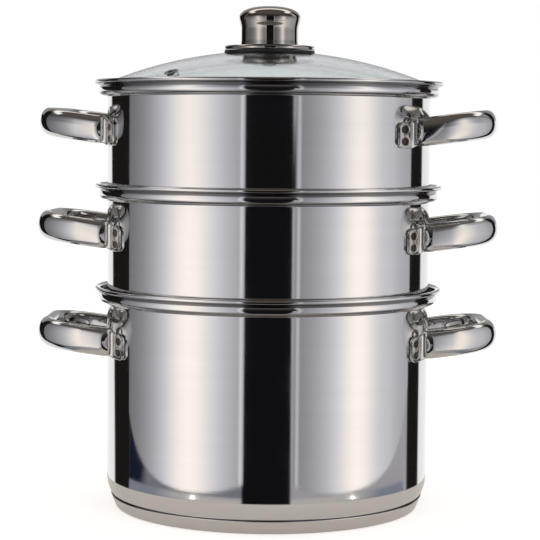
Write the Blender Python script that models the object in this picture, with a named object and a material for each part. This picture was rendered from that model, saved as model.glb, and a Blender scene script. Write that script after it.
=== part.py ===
"""Three-tier steamer set: a soup pot, two steamer inserts and a glass lid.

Units are metres, Z points up and the pot stands on Z = 0 with its axis on Z.
Every turned piece is an outline in (radius, height) swept round the axis, and
every handle is one tube lofted from a pressed end round to the other.
"""

import math

import bpy
from mathutils import Matrix, Vector

MM = 0.001

# Clearance between pieces that touch, and round the screw
GAP = 0.3 * MM
BORE_CLEARANCE = 0.5 * MM

# Drawn steel vessels
BODY_RADIUS = 100.6 * MM
SHEET = 0.6 * MM
POT_LIP_HEIGHT = 138.35 * MM
TIER_RISE = 63.85 * MM

# Flared rim, the same on the pot and on both inserts
LIP_REACH = 7.9 * MM
LIP_THICKNESS = 2.6 * MM
LIP_FLARE = 1.8 * MM
COLLAR_STEP = 5.4 * MM
COLLAR_DEPTH = 5.8 * MM
SHOULDER_RADIUS = 3.2 * MM
LEDGE_FLAT = 0.3 * MM
RIM_DEPTH = COLLAR_DEPTH + COLLAR_STEP - LEDGE_FLAT
NECK_RADIUS = COLLAR_STEP - SHOULDER_RADIUS - LEDGE_FLAT

# Sandwich base, and the bottom corner of the pot above it
CORE_THICKNESS = 4.3 * MM
CORE_EDGE_MARGIN = 8.1 * MM
CAP_SHEET = 0.6 * MM
SEAM_HEIGHT = 8.2 * MM
CAP_FOOT_INSET = 5.3 * MM
CAP_FOOT_RADIUS = BODY_RADIUS - CAP_FOOT_INSET
CAP_EDGE_RADIUS = 2.2 * MM
CAP_EDGE_START = math.radians(-10.0)
POT_FLOOR = CAP_SHEET + GAP + CORE_THICKNESS + GAP
CORNER_RADIUS = 22.0 * MM
CORNER_TURN = math.radians(32.0)
KNUCKLE_RADIUS = 6.5 * MM

# Lower part of an insert, which nests in the vessel below
INSERT_DEPTH = 24.0 * MM
SKIRT_CLEARANCE = 0.8 * MM
STEP_RUN = 1.2 * MM
INSERT_CORNER = 6.0 * MM
SKIRT_RADIUS = BODY_RADIUS - SHEET - SKIRT_CLEARANCE

# Steam holes in the floor of an insert
HOLE_RADIUS = 3.5 * MM
HOLE_RINGS = 3
HOLES_IN_FIRST_RING = 6
HOLE_EDGE_MARGIN = 15.2 * MM
HOLE_RING_PITCH = (SKIRT_RADIUS - INSERT_CORNER - HOLE_EDGE_MARGIN) / HOLE_RINGS
HOLE_PEG_HEIGHT = 6 * SHEET

# Tube handles; the reach is from the vessel's wall to the outer side of the grip
HANDLE_REACH = 42.4 * MM
TUBE_HALF_WIDTH = 5.75 * MM
TUBE_HALF_HEIGHT = 8.6 * MM
HANDLE_CORNER_RADIUS = 24.0 * MM
HANDLE_TILT = math.radians(7.5)
ROOT_BEND_RADIUS = 7.0 * MM
ROOT_RISE = 2.3 * MM
FULL_WIDTH_RUN = 4.9 * MM
WIDTH_LAG = 0.75
POT_HANDLE_DROP = 34.4 * MM
STEAMER_HANDLE_DROP = 32.7 * MM
LOWER_STEAMER_TURN = math.radians(-3.0)
UPPER_STEAMER_TURN = math.radians(-9.5)

# Pressed ends of the handles; the form is share of the length and share of the height
TAB_HALF_THICKNESS = 0.9 * MM
TAB_HALF_HEIGHT = 7.7 * MM
TAB_OUTER_ANGLE = math.radians(32.0)
TAB_INNER_ANGLE = math.radians(25.5)
TAB_END_FORM = ((0.0, 0.72), (0.12, 0.95), (0.5, 1.0))
TAB_SQUARENESS = 0.5
TAB_SHARP_ANGLE = math.radians(50.0)

# Steel band on the lid's edge, which rests on the shoulder inside the upper rim
BAND_CLEARANCE = 0.9 * MM
BAND_SHEET = 0.5 * MM
BAND_TOP_WIDTH = 3.2 * MM
BAND_BOTTOM_WIDTH = 4.2 * MM
BAND_OUTER = BODY_RADIUS + COLLAR_STEP - SHEET - BAND_CLEARANCE
BAND_WEB = BAND_OUTER - BAND_SHEET
BAND_SEAT_CENTRE = BODY_RADIUS + COLLAR_STEP - SHOULDER_RADIUS
BAND_SEAT_RADIUS = SHOULDER_RADIUS - SHEET - GAP

# Glass dome; the rise is from the lip that the lid sits in up to the top of the dome
DOME_RADIUS = 260.0 * MM
GLASS_THICKNESS = 4.0 * MM
GLASS_BORE_RADIUS = 3.4 * MM
GLASS_EDGE = BAND_WEB - GAP

# Steam vent in the glass
VENT_INSET = 10.8 * MM
VENT_DISTANCE = BODY_RADIUS - VENT_INSET
VENT_ANGLE = math.radians(-129.8)
VENT_HOLE_RADIUS = 3.4 * MM
VENT_PIN_REACH = 3 * GLASS_THICKNESS
EYELET_SHEET = 0.6 * MM
EYELET_FLANGE_RADIUS = 4.3 * MM

# Gasket and plate under the knob
GASKET_RADIUS = 28.2 * MM
GASKET_THICKNESS = 0.8 * MM
PLATE_RADIUS = 28.1 * MM
PLATE_EDGE_HEIGHT = 3.1 * MM
PLATE_EDGE_ROUND = 1.5 * MM
PLATE_CROWN = 0.4 * MM

# Knob; its crown, waist, neck and foot are shares of the sizes above them
KNOB_HEIGHT = 24.9 * MM
KNOB_SHEET = 0.8 * MM
KNOB_HEAD_RADIUS = 19.1 * MM
KNOB_CROWN_HEIGHT = 2.6 * MM
CROWN_SHARE = 0.75
CROWN_FALL = 0.35
KNOB_SHOULDER_RADIUS = 3.8 * MM
KNOB_SHOULDER_START = math.radians(75.0)
WAIST_DROP = 0.5
KNOB_NECK_RADIUS = 17.8 * MM
NECK_TOP = 0.42
NECK_FOOT = 0.1
KNOB_FOOT_FLARE = 0.4 * MM
CORE_TOP_ROOM = 2.4 * MM

# Screw that comes up through the glass, and its washer
SCREW_RADIUS = 2.0 * MM
SCREW_BORE = SCREW_RADIUS + BORE_CLEARANCE
SCREW_BITE = 11.0 * MM
SCREW_POINT = 1.0 * MM
SCREW_HEAD_RADIUS = 5.0 * MM
SCREW_HEAD_HEIGHT = 2.8 * MM
SCREW_HEAD_FACE = 3.5 * MM
WASHER_RADIUS = 7.5 * MM
WASHER_THICKNESS = 1.0 * MM

# Fineness of the surfaces
VESSEL_SIDES = 32
VENT_RING = VENT_DISTANCE / math.cos(math.pi / VESSEL_SIDES)
PLATE_SIDES = 24
KNOB_SIDES = 20
SMALL_SIDES = 16
CUTTER_SIDES = 12
HOLE_SIDES = 6
SECTION_SIDES = 10
HANDLE_CORNER_STEPS = 4
LIP_STEPS = 4
BEND_STEPS = 2
EDGE_STEPS = 3
DOME_STEPS = 5
MERGE_DISTANCE = 0.02 * MM


def clear_scene():
    """Start from an empty scene."""
    for item in list(bpy.data.objects):
        bpy.data.objects.remove(item, do_unlink=True)


def make_material(name, colour, metallic, roughness, alpha=1.0):
    """Return a Principled BSDF material."""
    material = bpy.data.materials.new(name)
    material.use_nodes = True
    shader = material.node_tree.nodes["Principled BSDF"]
    shader.inputs["Base Color"].default_value = (*colour, 1.0)
    shader.inputs["Metallic"].default_value = metallic
    shader.inputs["Roughness"].default_value = roughness
    shader.inputs["Alpha"].default_value = alpha
    return material


def arc(centre_r, centre_z, radius, start, end, steps):
    """Points of an arc in the (radius, height) plane, angles in radians from +radius."""
    points = []
    for step in range(steps + 1):
        angle = start + (end - start) * step / steps
        points.append((centre_r + radius * math.cos(angle), centre_z + radius * math.sin(angle)))
    return points


UP = math.pi / 2
DOWN = -math.pi / 2
INWARD = math.pi
OUTWARD = 0.0


def place(item, parent, material):
    """Link an object, give it its material and hang it on its parent."""
    bpy.context.collection.objects.link(item)
    item.parent = parent
    if material is not None:
        item.data.materials.clear()
        item.data.materials.append(material)
    return item


def revolve(name, outline, material, parent=None, sides=VESSEL_SIDES):
    """Turn an outline about Z. It runs down its outer side, and closes unless it ends on the axis."""
    mesh = bpy.data.meshes.new(name)
    edges = [(i, i + 1) for i in range(len(outline) - 1)]
    if outline[0][0] > 0.0:
        edges.append((len(outline) - 1, 0))
    mesh.from_pydata([(r, 0.0, z) for r, z in outline], edges, [])
    item = place(bpy.data.objects.new(name, mesh), parent, material)
    turn = item.modifiers.new("Turn", "SCREW")
    turn.axis = "Z"
    turn.angle = math.tau
    turn.steps = sides
    turn.render_steps = sides
    turn.use_merge_vertices = True
    turn.merge_threshold = MERGE_DISTANCE
    turn.use_smooth_shade = True
    return item


def cut(item, cutter):
    """Take a cutter out of an object and hide the cutter."""
    cutter.hide_render = True
    cutter.display_type = "WIRE"
    boolean = item.modifiers.new("Cut " + cutter.name, "BOOLEAN")
    boolean.operation = "DIFFERENCE"
    boolean.solver = "EXACT"
    boolean.object = cutter


def rim_outside(wall):
    """Outer side of the rim, from the lip's inner flare down to the wall; lip top at height 0."""
    collar = wall + COLLAR_STEP
    bead = LIP_THICKNESS / 2
    tip = wall + LIP_REACH - bead
    flare = collar - SHEET + LIP_FLARE
    shoulder = collar - SHOULDER_RADIUS
    points = arc(flare, -LIP_FLARE, LIP_FLARE, INWARD, UP, 1)
    points += arc(tip, -bead, bead, UP, DOWN, LIP_STEPS)
    points.append((collar, -LIP_THICKNESS - SHEET))
    points += arc(shoulder, -COLLAR_DEPTH, SHOULDER_RADIUS, OUTWARD, DOWN, BEND_STEPS)
    points += arc(wall + NECK_RADIUS, -RIM_DEPTH, NECK_RADIUS, UP, INWARD, BEND_STEPS)
    return points


def rim_inside(wall):
    """Inner side of the rim, from the wall up to the collar."""
    shoulder = wall + COLLAR_STEP - SHOULDER_RADIUS
    points = arc(wall + NECK_RADIUS, -RIM_DEPTH, NECK_RADIUS + SHEET, INWARD, UP, BEND_STEPS)
    points += arc(shoulder, -COLLAR_DEPTH, SHOULDER_RADIUS - SHEET, DOWN, OUTWARD, BEND_STEPS)
    return points


def knuckle_centre():
    """Centre of the tight bend at the pot's floor, which the sweep of the corner runs into."""
    meet_r = BODY_RADIUS - CORNER_RADIUS * (1 - math.cos(CORNER_TURN))
    return meet_r - KNUCKLE_RADIUS * math.cos(CORNER_TURN), POT_FLOOR + KNUCKLE_RADIUS


def pot_corner(offset):
    """Bottom corner of the pot, from the wall to the floor, moved inwards by offset."""
    knuckle_r, knuckle_z = knuckle_centre()
    sweep_r = BODY_RADIUS - CORNER_RADIUS
    sweep_z = knuckle_z + (CORNER_RADIUS - KNUCKLE_RADIUS) * math.sin(CORNER_TURN)
    points = arc(sweep_r, sweep_z, CORNER_RADIUS - offset, OUTWARD, -CORNER_TURN, BEND_STEPS)
    points += arc(knuckle_r, knuckle_z, KNUCKLE_RADIUS - offset, -CORNER_TURN, DOWN, BEND_STEPS)[1:]
    return points


def make_pot_body(steel):
    """Soup pot: rim, straight wall and rounded bottom corner, drawn from one sheet."""
    rim = [(r, z + POT_LIP_HEIGHT) for r, z in rim_inside(BODY_RADIUS) + rim_outside(BODY_RADIUS)]
    outline = [(0.0, POT_FLOOR + SHEET)]
    outline += pot_corner(SHEET)[::-1]
    outline += rim
    outline += pot_corner(0.0)
    outline.append((0.0, POT_FLOOR))
    return revolve("pot_body", outline, steel)


def make_base_core(aluminium):
    """Aluminium disc that spreads the heat under the pot's floor."""
    radius = BODY_RADIUS - CORE_EDGE_MARGIN
    bottom = CAP_SHEET + GAP
    top = bottom + CORE_THICKNESS
    return revolve("base_core", [(0.0, top), (radius, top), (radius, bottom), (0.0, bottom)], aluminium)


def make_base_cap(steel):
    """Pressed steel dish that closes the sandwich and is the face the pot stands on."""
    knuckle_r, knuckle_z = knuckle_centre()
    hug = KNUCKLE_RADIUS + GAP
    mouth = knuckle_r + math.sqrt(hug ** 2 - (knuckle_z - SEAM_HEIGHT) ** 2)
    foot = CAP_FOOT_RADIUS - CAP_EDGE_RADIUS
    inner_radius = CAP_EDGE_RADIUS - CAP_SHEET
    outline = [(0.0, CAP_SHEET)]
    outline += arc(foot, CAP_EDGE_RADIUS, inner_radius, DOWN, CAP_EDGE_START, BEND_STEPS)
    outline += [(mouth, SEAM_HEIGHT), (mouth + CAP_SHEET, SEAM_HEIGHT)]
    outline += arc(foot, CAP_EDGE_RADIUS, CAP_EDGE_RADIUS, CAP_EDGE_START, DOWN, EDGE_STEPS)
    outline.append((0.0, 0.0))
    return revolve("base_cap", outline, steel)


def steam_hole_spots():
    """Centres of the steam holes: one in the middle and rings round it."""
    spots = [(0.0, 0.0)]
    for ring in range(1, HOLE_RINGS + 1):
        count = HOLES_IN_FIRST_RING * ring
        for step in range(count):
            angle = math.tau * step / count
            distance = HOLE_RING_PITCH * ring
            spots.append((distance * math.cos(angle), distance * math.sin(angle)))
    return spots


def steam_hole_cutter(name, floor, parent):
    """Pegs that punch the steam holes through an insert's floor."""
    vertices = []
    faces = []
    for x, y in steam_hole_spots():
        first = len(vertices)
        above = first + HOLE_SIDES
        for level in (floor - HOLE_PEG_HEIGHT / 2, floor + HOLE_PEG_HEIGHT / 2):
            for side in range(HOLE_SIDES):
                out = spoke(math.tau * (side + 0.5) / HOLE_SIDES)[0] * HOLE_RADIUS
                vertices.append((x + out.x, y + out.y, level))
        faces.append([first + side for side in reversed(range(HOLE_SIDES))])
        faces.append([above + side for side in range(HOLE_SIDES)])
        for side in range(HOLE_SIDES):
            after = (side + 1) % HOLE_SIDES
            faces.append([first + side, first + after, above + after, above + side])
    mesh = bpy.data.meshes.new(name)
    mesh.from_pydata(vertices, [], faces)
    return place(bpy.data.objects.new(name, mesh), parent, None)


def insert_seat(offset):
    """Step where an insert sits on the shoulder of the vessel below, moved inwards by offset."""
    centre_r = BODY_RADIUS + NECK_RADIUS
    centre_z = -TIER_RISE - RIM_DEPTH
    radius = NECK_RADIUS + SHEET + GAP + offset
    start = math.acos((BODY_RADIUS - offset - centre_r) / radius)
    return arc(centre_r, centre_z, radius, start, INWARD, 1) + [(SKIRT_RADIUS - offset, centre_z - STEP_RUN)]


def make_steamer_body(name, parent, steel):
    """Steamer insert: the pot's rim, a stepped wall and a floor full of steam holes."""
    floor = -TIER_RISE - INSERT_DEPTH
    corner_r = SKIRT_RADIUS - INSERT_CORNER
    corner_z = floor + INSERT_CORNER
    outline = [(0.0, floor + SHEET)]
    outline += arc(corner_r, corner_z, INSERT_CORNER - SHEET, DOWN, OUTWARD, BEND_STEPS)
    outline += insert_seat(SHEET)[::-1]
    outline += rim_inside(BODY_RADIUS) + rim_outside(BODY_RADIUS)
    outline += insert_seat(0.0)
    outline += arc(corner_r, corner_z, INSERT_CORNER, OUTWARD, DOWN, BEND_STEPS)
    outline.append((0.0, floor))
    body = revolve(name, outline, steel, parent)
    cut(body, steam_hole_cutter(name + "_holes", floor + SHEET / 2, parent))
    return body


def smooth(value):
    """Ease from 0 to 1."""
    value = min(max(value, 0.0), 1.0)
    return value * value * (3 - 2 * value)


def blend(start, end, share):
    """Value part of the way from start to end."""
    return start + (end - start) * share


def spoke(angle):
    """Unit vector away from a centre, and the heading of a path that turns clockwise round it."""
    return Vector((math.cos(angle), math.sin(angle))), Vector((math.sin(angle), -math.cos(angle)))


def tab_stations():
    """Stations along the pressed end, which lies on the vessel's wall."""
    seat = BODY_RADIUS + GAP + TAB_HALF_THICKNESS
    stations = []
    for share, height in TAB_END_FORM:
        out, heading = spoke(blend(TAB_OUTER_ANGLE, TAB_INNER_ANGLE, share))
        stations.append((out * seat, heading, TAB_HALF_THICKNESS, TAB_HALF_HEIGHT * height, 0.0))
    return stations


def root_stations(bend_centre):
    """Stations round the bend from the wall to the leg, where the flat end swells into a tube."""
    stations = []
    for step in range(BEND_STEPS + 1):
        share = step / BEND_STEPS
        out, heading = spoke(blend(TAB_INNER_ANGLE, UP, share))
        width = blend(TAB_HALF_THICKNESS, TUBE_HALF_WIDTH, smooth(share * WIDTH_LAG))
        height = blend(TAB_HALF_HEIGHT, TUBE_HALF_HEIGHT, smooth(share))
        stations.append((bend_centre - out * ROOT_BEND_RADIUS, heading, width, height, smooth(share)))
    return stations


def corner_stations(corner_centre):
    """Stations round the outer corner, from the leg to the middle of the grip."""
    stations = []
    for step in range(HANDLE_CORNER_STEPS + 1):
        out, heading = spoke(UP * (1 - step / HANDLE_CORNER_STEPS))
        point = corner_centre + out * HANDLE_CORNER_RADIUS
        stations.append((point, heading, TUBE_HALF_WIDTH, TUBE_HALF_HEIGHT, 1.0))
    return stations


def handle_half_path():
    """Stations on one half of the handle's centre line: point, heading, width, height and rise.

    The handle points along +X. Its pressed end lies on the vessel's wall, the tube bends
    outwards, runs along a leg, turns a corner and stops at the middle of the grip.
    """
    root = spoke(TAB_INNER_ANGLE)[0]
    bend_centre = root * (BODY_RADIUS + GAP + TAB_HALF_THICKNESS + ROOT_BEND_RADIUS)
    leg_y = bend_centre.y - ROOT_BEND_RADIUS
    grip_x = BODY_RADIUS + HANDLE_REACH - TUBE_HALF_WIDTH
    corner_centre = Vector((grip_x - HANDLE_CORNER_RADIUS, leg_y - HANDLE_CORNER_RADIUS))
    leg_start = Vector((bend_centre.x + FULL_WIDTH_RUN, leg_y))
    stations = tab_stations() + root_stations(bend_centre)
    stations.append((leg_start, Vector((1.0, 0.0)), TUBE_HALF_WIDTH, TUBE_HALF_HEIGHT, 1.0))
    return stations + corner_stations(corner_centre)


def handle_ring(point, heading, width, height, rise):
    """One cross-section of the handle: flat and square-cornered at the tab, oval along the tube."""
    side = Vector((heading.y, -heading.x))
    roundness = (width - TAB_HALF_THICKNESS) / (TUBE_HALF_WIDTH - TAB_HALF_THICKNESS)
    power = blend(TAB_SQUARENESS, 1.0, roundness)
    level = rise * (ROOT_RISE + math.tan(HANDLE_TILT) * max(point.x - BODY_RADIUS, 0.0))
    ring = []
    for step in range(SECTION_SIDES):
        angle = math.tau * (step + 0.5) / SECTION_SIDES
        across = math.copysign(abs(math.cos(angle)) ** power, math.cos(angle)) * width
        up = math.copysign(abs(math.sin(angle)) ** power, math.sin(angle)) * height
        spot = point + side * across
        ring.append((spot.x, spot.y, level + up))
    return ring


def make_handle_mesh(steel):
    """Tube handle whose two ends are pressed flat and welded to the wall."""
    half = [handle_ring(*station) for station in handle_half_path()]
    rings = half + [[(x, -y, z) for x, y, z in ring] for ring in reversed(half)]
    vertices = [point for ring in rings for point in ring]
    faces = []
    for row in range(len(rings) - 1):
        for side in range(SECTION_SIDES):
            after = (side + 1) % SECTION_SIDES
            low = row * SECTION_SIDES
            high = low + SECTION_SIDES
            faces.append([low + side, high + side, high + after, low + after])
    faces.append(list(range(SECTION_SIDES)))
    last = (len(rings) - 1) * SECTION_SIDES
    faces.append([last + side for side in reversed(range(SECTION_SIDES))])
    mesh = bpy.data.meshes.new("tube_handle")
    mesh.from_pydata(vertices, [], faces)
    mesh.shade_smooth()
    mesh.set_sharp_from_angle(angle=TAB_SHARP_ANGLE)
    mesh.materials.append(steel)
    return mesh


def add_handles(prefix, mesh, drop, turn, parent):
    """Hang a right and a left handle on a vessel whose lip top is the parent's origin."""
    for side, angle in (("right", turn), ("left", turn + math.pi)):
        item = bpy.data.objects.new(prefix + "_handle_" + side, mesh)
        bpy.context.collection.objects.link(item)
        item.parent = parent
        item.location = (0.0, 0.0, -drop)
        item.rotation_euler = (0.0, 0.0, angle)


def band_seat(radius):
    """Height at which a point of the band rests on the shoulder inside the rim."""
    across = min(radius - BAND_SEAT_CENTRE, BAND_SEAT_RADIUS)
    return -COLLAR_DEPTH - math.sqrt(BAND_SEAT_RADIUS ** 2 - across ** 2)


BAND_UNDERSIDE = band_seat(BAND_WEB)
BAND_FLOOR = BAND_UNDERSIDE + BAND_SHEET
LOWER_FACE_FALL = DOME_RADIUS - math.sqrt((DOME_RADIUS - GLASS_THICKNESS) ** 2 - GLASS_EDGE ** 2)
GLASS_RISE = BAND_FLOOR + GAP + LOWER_FACE_FALL


def dome(radius, offset):
    """Height of a surface parallel to the glass dome, above the lip that the lid sits in."""
    return GLASS_RISE - DOME_RADIUS + math.sqrt((DOME_RADIUS + offset) ** 2 - radius ** 2)


def dome_line(start, end, offset, steps):
    """Points along a surface parallel to the dome, between two radii."""
    radii = [blend(start, end, step / steps) for step in range(steps + 1)]
    return [(radius, dome(radius, offset)) for radius in radii]


def vent_frame():
    """Place of the steam vent: on the middle of a facet's edge, with Z along the dome's normal."""
    out = spoke(VENT_ANGLE)[0] * VENT_DISTANCE
    spot = Vector((out.x, out.y, dome(VENT_RING, 0.0)))
    normal = spot - Vector((0.0, 0.0, GLASS_RISE - DOME_RADIUS))
    turn = normal.to_track_quat("Z", "Y")
    return Matrix.Translation(spot) @ turn.to_matrix().to_4x4()


def make_lid_glass(glass, parent):
    """Domed glass disc with a bore for the knob screw, one for the vent and a ring of edges there."""
    radii = [blend(GLASS_BORE_RADIUS, VENT_RING, step / DOME_STEPS) for step in range(DOME_STEPS + 1)]
    radii.append(GLASS_EDGE)
    outline = [(radius, dome(radius, 0.0)) for radius in radii]
    outline += [(radius, dome(radius, -GLASS_THICKNESS)) for radius in reversed(radii)]
    lid = revolve("lid_glass", outline, glass, parent)
    pin_outline = [(0.0, VENT_PIN_REACH), (VENT_HOLE_RADIUS, VENT_PIN_REACH),
                   (VENT_HOLE_RADIUS, -VENT_PIN_REACH), (0.0, -VENT_PIN_REACH)]
    pin = revolve("vent_cutter", pin_outline, None, parent, sides=CUTTER_SIDES)
    pin.matrix_local = vent_frame()
    cut(lid, pin)
    return lid


def make_lid_rim_band(steel, parent):
    """Steel band folded over the edge of the glass; it sits on the shoulder inside the rim."""
    top_edge = GLASS_EDGE - BAND_TOP_WIDTH
    bottom_edge = GLASS_EDGE - BAND_BOTTOM_WIDTH
    outline = [(top_edge, dome(top_edge, GAP + BAND_SHEET)),
               (BAND_OUTER, dome(BAND_OUTER, GAP + BAND_SHEET)),
               (BAND_OUTER, band_seat(BAND_OUTER)), (BAND_WEB, BAND_UNDERSIDE),
               (bottom_edge, BAND_UNDERSIDE), (bottom_edge, BAND_FLOOR), (BAND_WEB, BAND_FLOOR),
               (BAND_WEB, dome(BAND_WEB, GAP)), (top_edge, dome(top_edge, GAP))]
    return revolve("lid_rim_band", outline, steel, parent)


def make_vent_eyelet(steel, parent):
    """Steel eyelet rolled over both faces of the glass round the steam vent."""
    tube = VENT_HOLE_RADIUS - GAP
    hole = tube - EYELET_SHEET
    top = GAP
    bottom = -GLASS_THICKNESS - GAP
    outline = [(hole, top + EYELET_SHEET), (EYELET_FLANGE_RADIUS, top + EYELET_SHEET),
               (EYELET_FLANGE_RADIUS, top), (tube, top), (tube, bottom), (EYELET_FLANGE_RADIUS, bottom),
               (EYELET_FLANGE_RADIUS, bottom - EYELET_SHEET), (hole, bottom - EYELET_SHEET)]
    eyelet = revolve("vent_eyelet", outline, steel, parent, sides=SMALL_SIDES)
    eyelet.matrix_local = vent_frame()
    return eyelet


PLATE_UNDERSIDE = GAP + GASKET_THICKNESS + GAP
PLATE_TOP = dome(PLATE_RADIUS, PLATE_UNDERSIDE) + PLATE_EDGE_HEIGHT
KNOB_FOOT = PLATE_TOP + PLATE_CROWN + GAP
WASHER_TOP = dome(0.0, -GLASS_THICKNESS) - GAP


def make_knob_gasket(rubber, parent):
    """Soft washer between the glass and the knob's plate."""
    outline = dome_line(SCREW_BORE, GASKET_RADIUS, GAP + GASKET_THICKNESS, BEND_STEPS)
    outline += dome_line(GASKET_RADIUS, SCREW_BORE, GAP, BEND_STEPS)
    return revolve("knob_gasket", outline, rubber, parent, sides=PLATE_SIDES)


def make_knob_base_plate(steel, parent):
    """Round plate under the knob, with a rounded edge and a face that follows the dome."""
    edge = PLATE_RADIUS - PLATE_EDGE_ROUND
    outline = [(SCREW_BORE, PLATE_TOP + PLATE_CROWN), (KNOB_NECK_RADIUS, PLATE_TOP + PLATE_CROWN)]
    outline += arc(edge, PLATE_TOP - PLATE_EDGE_ROUND, PLATE_EDGE_ROUND, UP, OUTWARD, BEND_STEPS)
    outline += dome_line(PLATE_RADIUS, SCREW_BORE, PLATE_UNDERSIDE, BEND_STEPS)
    return revolve("knob_base_plate", outline, steel, parent, sides=PLATE_SIDES)


def knob_skin(offset):
    """Outer form of the knob from the middle of its crown to its foot, moved inwards by offset."""
    top = KNOB_FOOT + KNOB_HEIGHT
    round_r = KNOB_HEAD_RADIUS - KNOB_SHOULDER_RADIUS
    round_z = top - KNOB_CROWN_HEIGHT - KNOB_SHOULDER_RADIUS
    crown_fall = CROWN_FALL * KNOB_CROWN_HEIGHT
    points = [(0.0, top - offset), (CROWN_SHARE * round_r, top - crown_fall - offset)]
    points += arc(round_r, round_z, KNOB_SHOULDER_RADIUS - offset, KNOB_SHOULDER_START, OUTWARD, EDGE_STEPS)
    neck_top = KNOB_FOOT + NECK_TOP * KNOB_HEIGHT
    waist = round_z - WAIST_DROP * KNOB_SHOULDER_RADIUS
    for step in range(1, EDGE_STEPS + 1):
        share = step / EDGE_STEPS
        radius = blend(KNOB_HEAD_RADIUS, KNOB_NECK_RADIUS, smooth(share))
        points.append((radius - offset, blend(waist, neck_top, share)))
    points.append((KNOB_NECK_RADIUS - offset, KNOB_FOOT + NECK_FOOT * KNOB_HEIGHT))
    points.append((KNOB_NECK_RADIUS + KNOB_FOOT_FLARE - offset, KNOB_FOOT))
    return points


def make_knob_shell(steel, parent):
    """Pressed steel cap of the knob, open towards the plate."""
    outline = knob_skin(0.0) + knob_skin(KNOB_SHEET)[::-1]
    return revolve("knob_shell", outline, steel, parent, sides=KNOB_SIDES)


def make_knob_core(plastic, parent):
    """Moulded core inside the knob's cap, with the bore that the screw bites into."""
    top = KNOB_FOOT + KNOB_HEIGHT - KNOB_SHEET - KNOB_CROWN_HEIGHT - CORE_TOP_ROOM
    radius = KNOB_NECK_RADIUS - KNOB_SHEET - GAP
    bore_top = KNOB_FOOT + SCREW_BITE + BORE_CLEARANCE
    outline = [(0.0, top), (radius, top), (radius, KNOB_FOOT), (SCREW_BORE, KNOB_FOOT),
               (SCREW_BORE, bore_top), (0.0, bore_top)]
    return revolve("knob_core", outline, plastic, parent, sides=KNOB_SIDES)


def make_screw_washer(steel, parent):
    """Washer under the glass."""
    bottom = WASHER_TOP - WASHER_THICKNESS
    outline = [(SCREW_BORE, WASHER_TOP), (WASHER_RADIUS, WASHER_TOP), (WASHER_RADIUS, bottom),
               (SCREW_BORE, bottom)]
    return revolve("screw_washer", outline, steel, parent, sides=KNOB_SIDES)


def make_lid_screw(steel, parent):
    """Pan-head screw that comes up through the glass and pulls the knob down."""
    tip = KNOB_FOOT + SCREW_BITE
    under = WASHER_TOP - WASHER_THICKNESS - GAP
    face = under - SCREW_HEAD_HEIGHT
    outline = [(0.0, tip), (SCREW_RADIUS - SCREW_POINT, tip), (SCREW_RADIUS, tip - SCREW_POINT),
               (SCREW_RADIUS, under), (SCREW_HEAD_RADIUS, under),
               (SCREW_HEAD_RADIUS, (under + face) / 2), (SCREW_HEAD_FACE, face), (0.0, face)]
    return revolve("lid_screw", outline, steel, parent, sides=SMALL_SIDES)


def make_empty(name, height):
    """Origin of a piece that lifts off, on the vertical axis at the height of its lip."""
    item = bpy.data.objects.new(name, None)
    bpy.context.collection.objects.link(item)
    item.location = (0.0, 0.0, height)
    return item


def build():
    """Make every piece of the set."""
    clear_scene()
    wall_steel = make_material("satin_steel", (0.60, 0.59, 0.58), 1.0, 0.22)
    bright_steel = make_material("bright_steel", (0.68, 0.67, 0.66), 1.0, 0.08)
    aluminium = make_material("aluminium", (0.75, 0.75, 0.76), 1.0, 0.35)
    knob_steel = make_material("smoked_steel", (0.34, 0.31, 0.30), 1.0, 0.12)
    glass = make_material("lid_glass", (0.86, 0.93, 0.92), 0.0, 0.03, alpha=0.35)
    rubber = make_material("black_rubber", (0.02, 0.02, 0.02), 0.0, 0.5)
    plastic = make_material("black_plastic", (0.03, 0.03, 0.03), 0.0, 0.4)

    lower_lip = POT_LIP_HEIGHT + TIER_RISE
    upper_lip = lower_lip + TIER_RISE
    pot = make_empty("pot_lip", POT_LIP_HEIGHT)
    lower = make_empty("lower_steamer_lift", lower_lip)
    upper = make_empty("upper_steamer_lift", upper_lip)
    lid = make_empty("lid_lift", upper_lip)

    make_pot_body(wall_steel)
    make_base_core(aluminium)
    make_base_cap(bright_steel)
    make_steamer_body("lower_steamer_body", lower, wall_steel)
    make_steamer_body("upper_steamer_body", upper, wall_steel)

    handle = make_handle_mesh(bright_steel)
    add_handles("pot", handle, POT_HANDLE_DROP, 0.0, pot)
    add_handles("lower_steamer", handle, STEAMER_HANDLE_DROP, LOWER_STEAMER_TURN, lower)
    add_handles("upper_steamer", handle, STEAMER_HANDLE_DROP, UPPER_STEAMER_TURN, upper)

    make_lid_glass(glass, lid)
    make_lid_rim_band(bright_steel, lid)
    make_vent_eyelet(bright_steel, lid)
    make_knob_gasket(rubber, lid)
    make_knob_base_plate(bright_steel, lid)
    make_knob_shell(knob_steel, lid)
    make_knob_core(plastic, lid)
    make_screw_washer(bright_steel, lid)
    make_lid_screw(bright_steel, lid)


build()
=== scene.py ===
"""Looks of a three-tier steamer set: a soup pot, two steamer inserts and a glass lid.

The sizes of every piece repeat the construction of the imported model, with more steps
round each bend. Lengths are in metres, Z points up and the set stands on Z = 0.
"""

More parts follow.
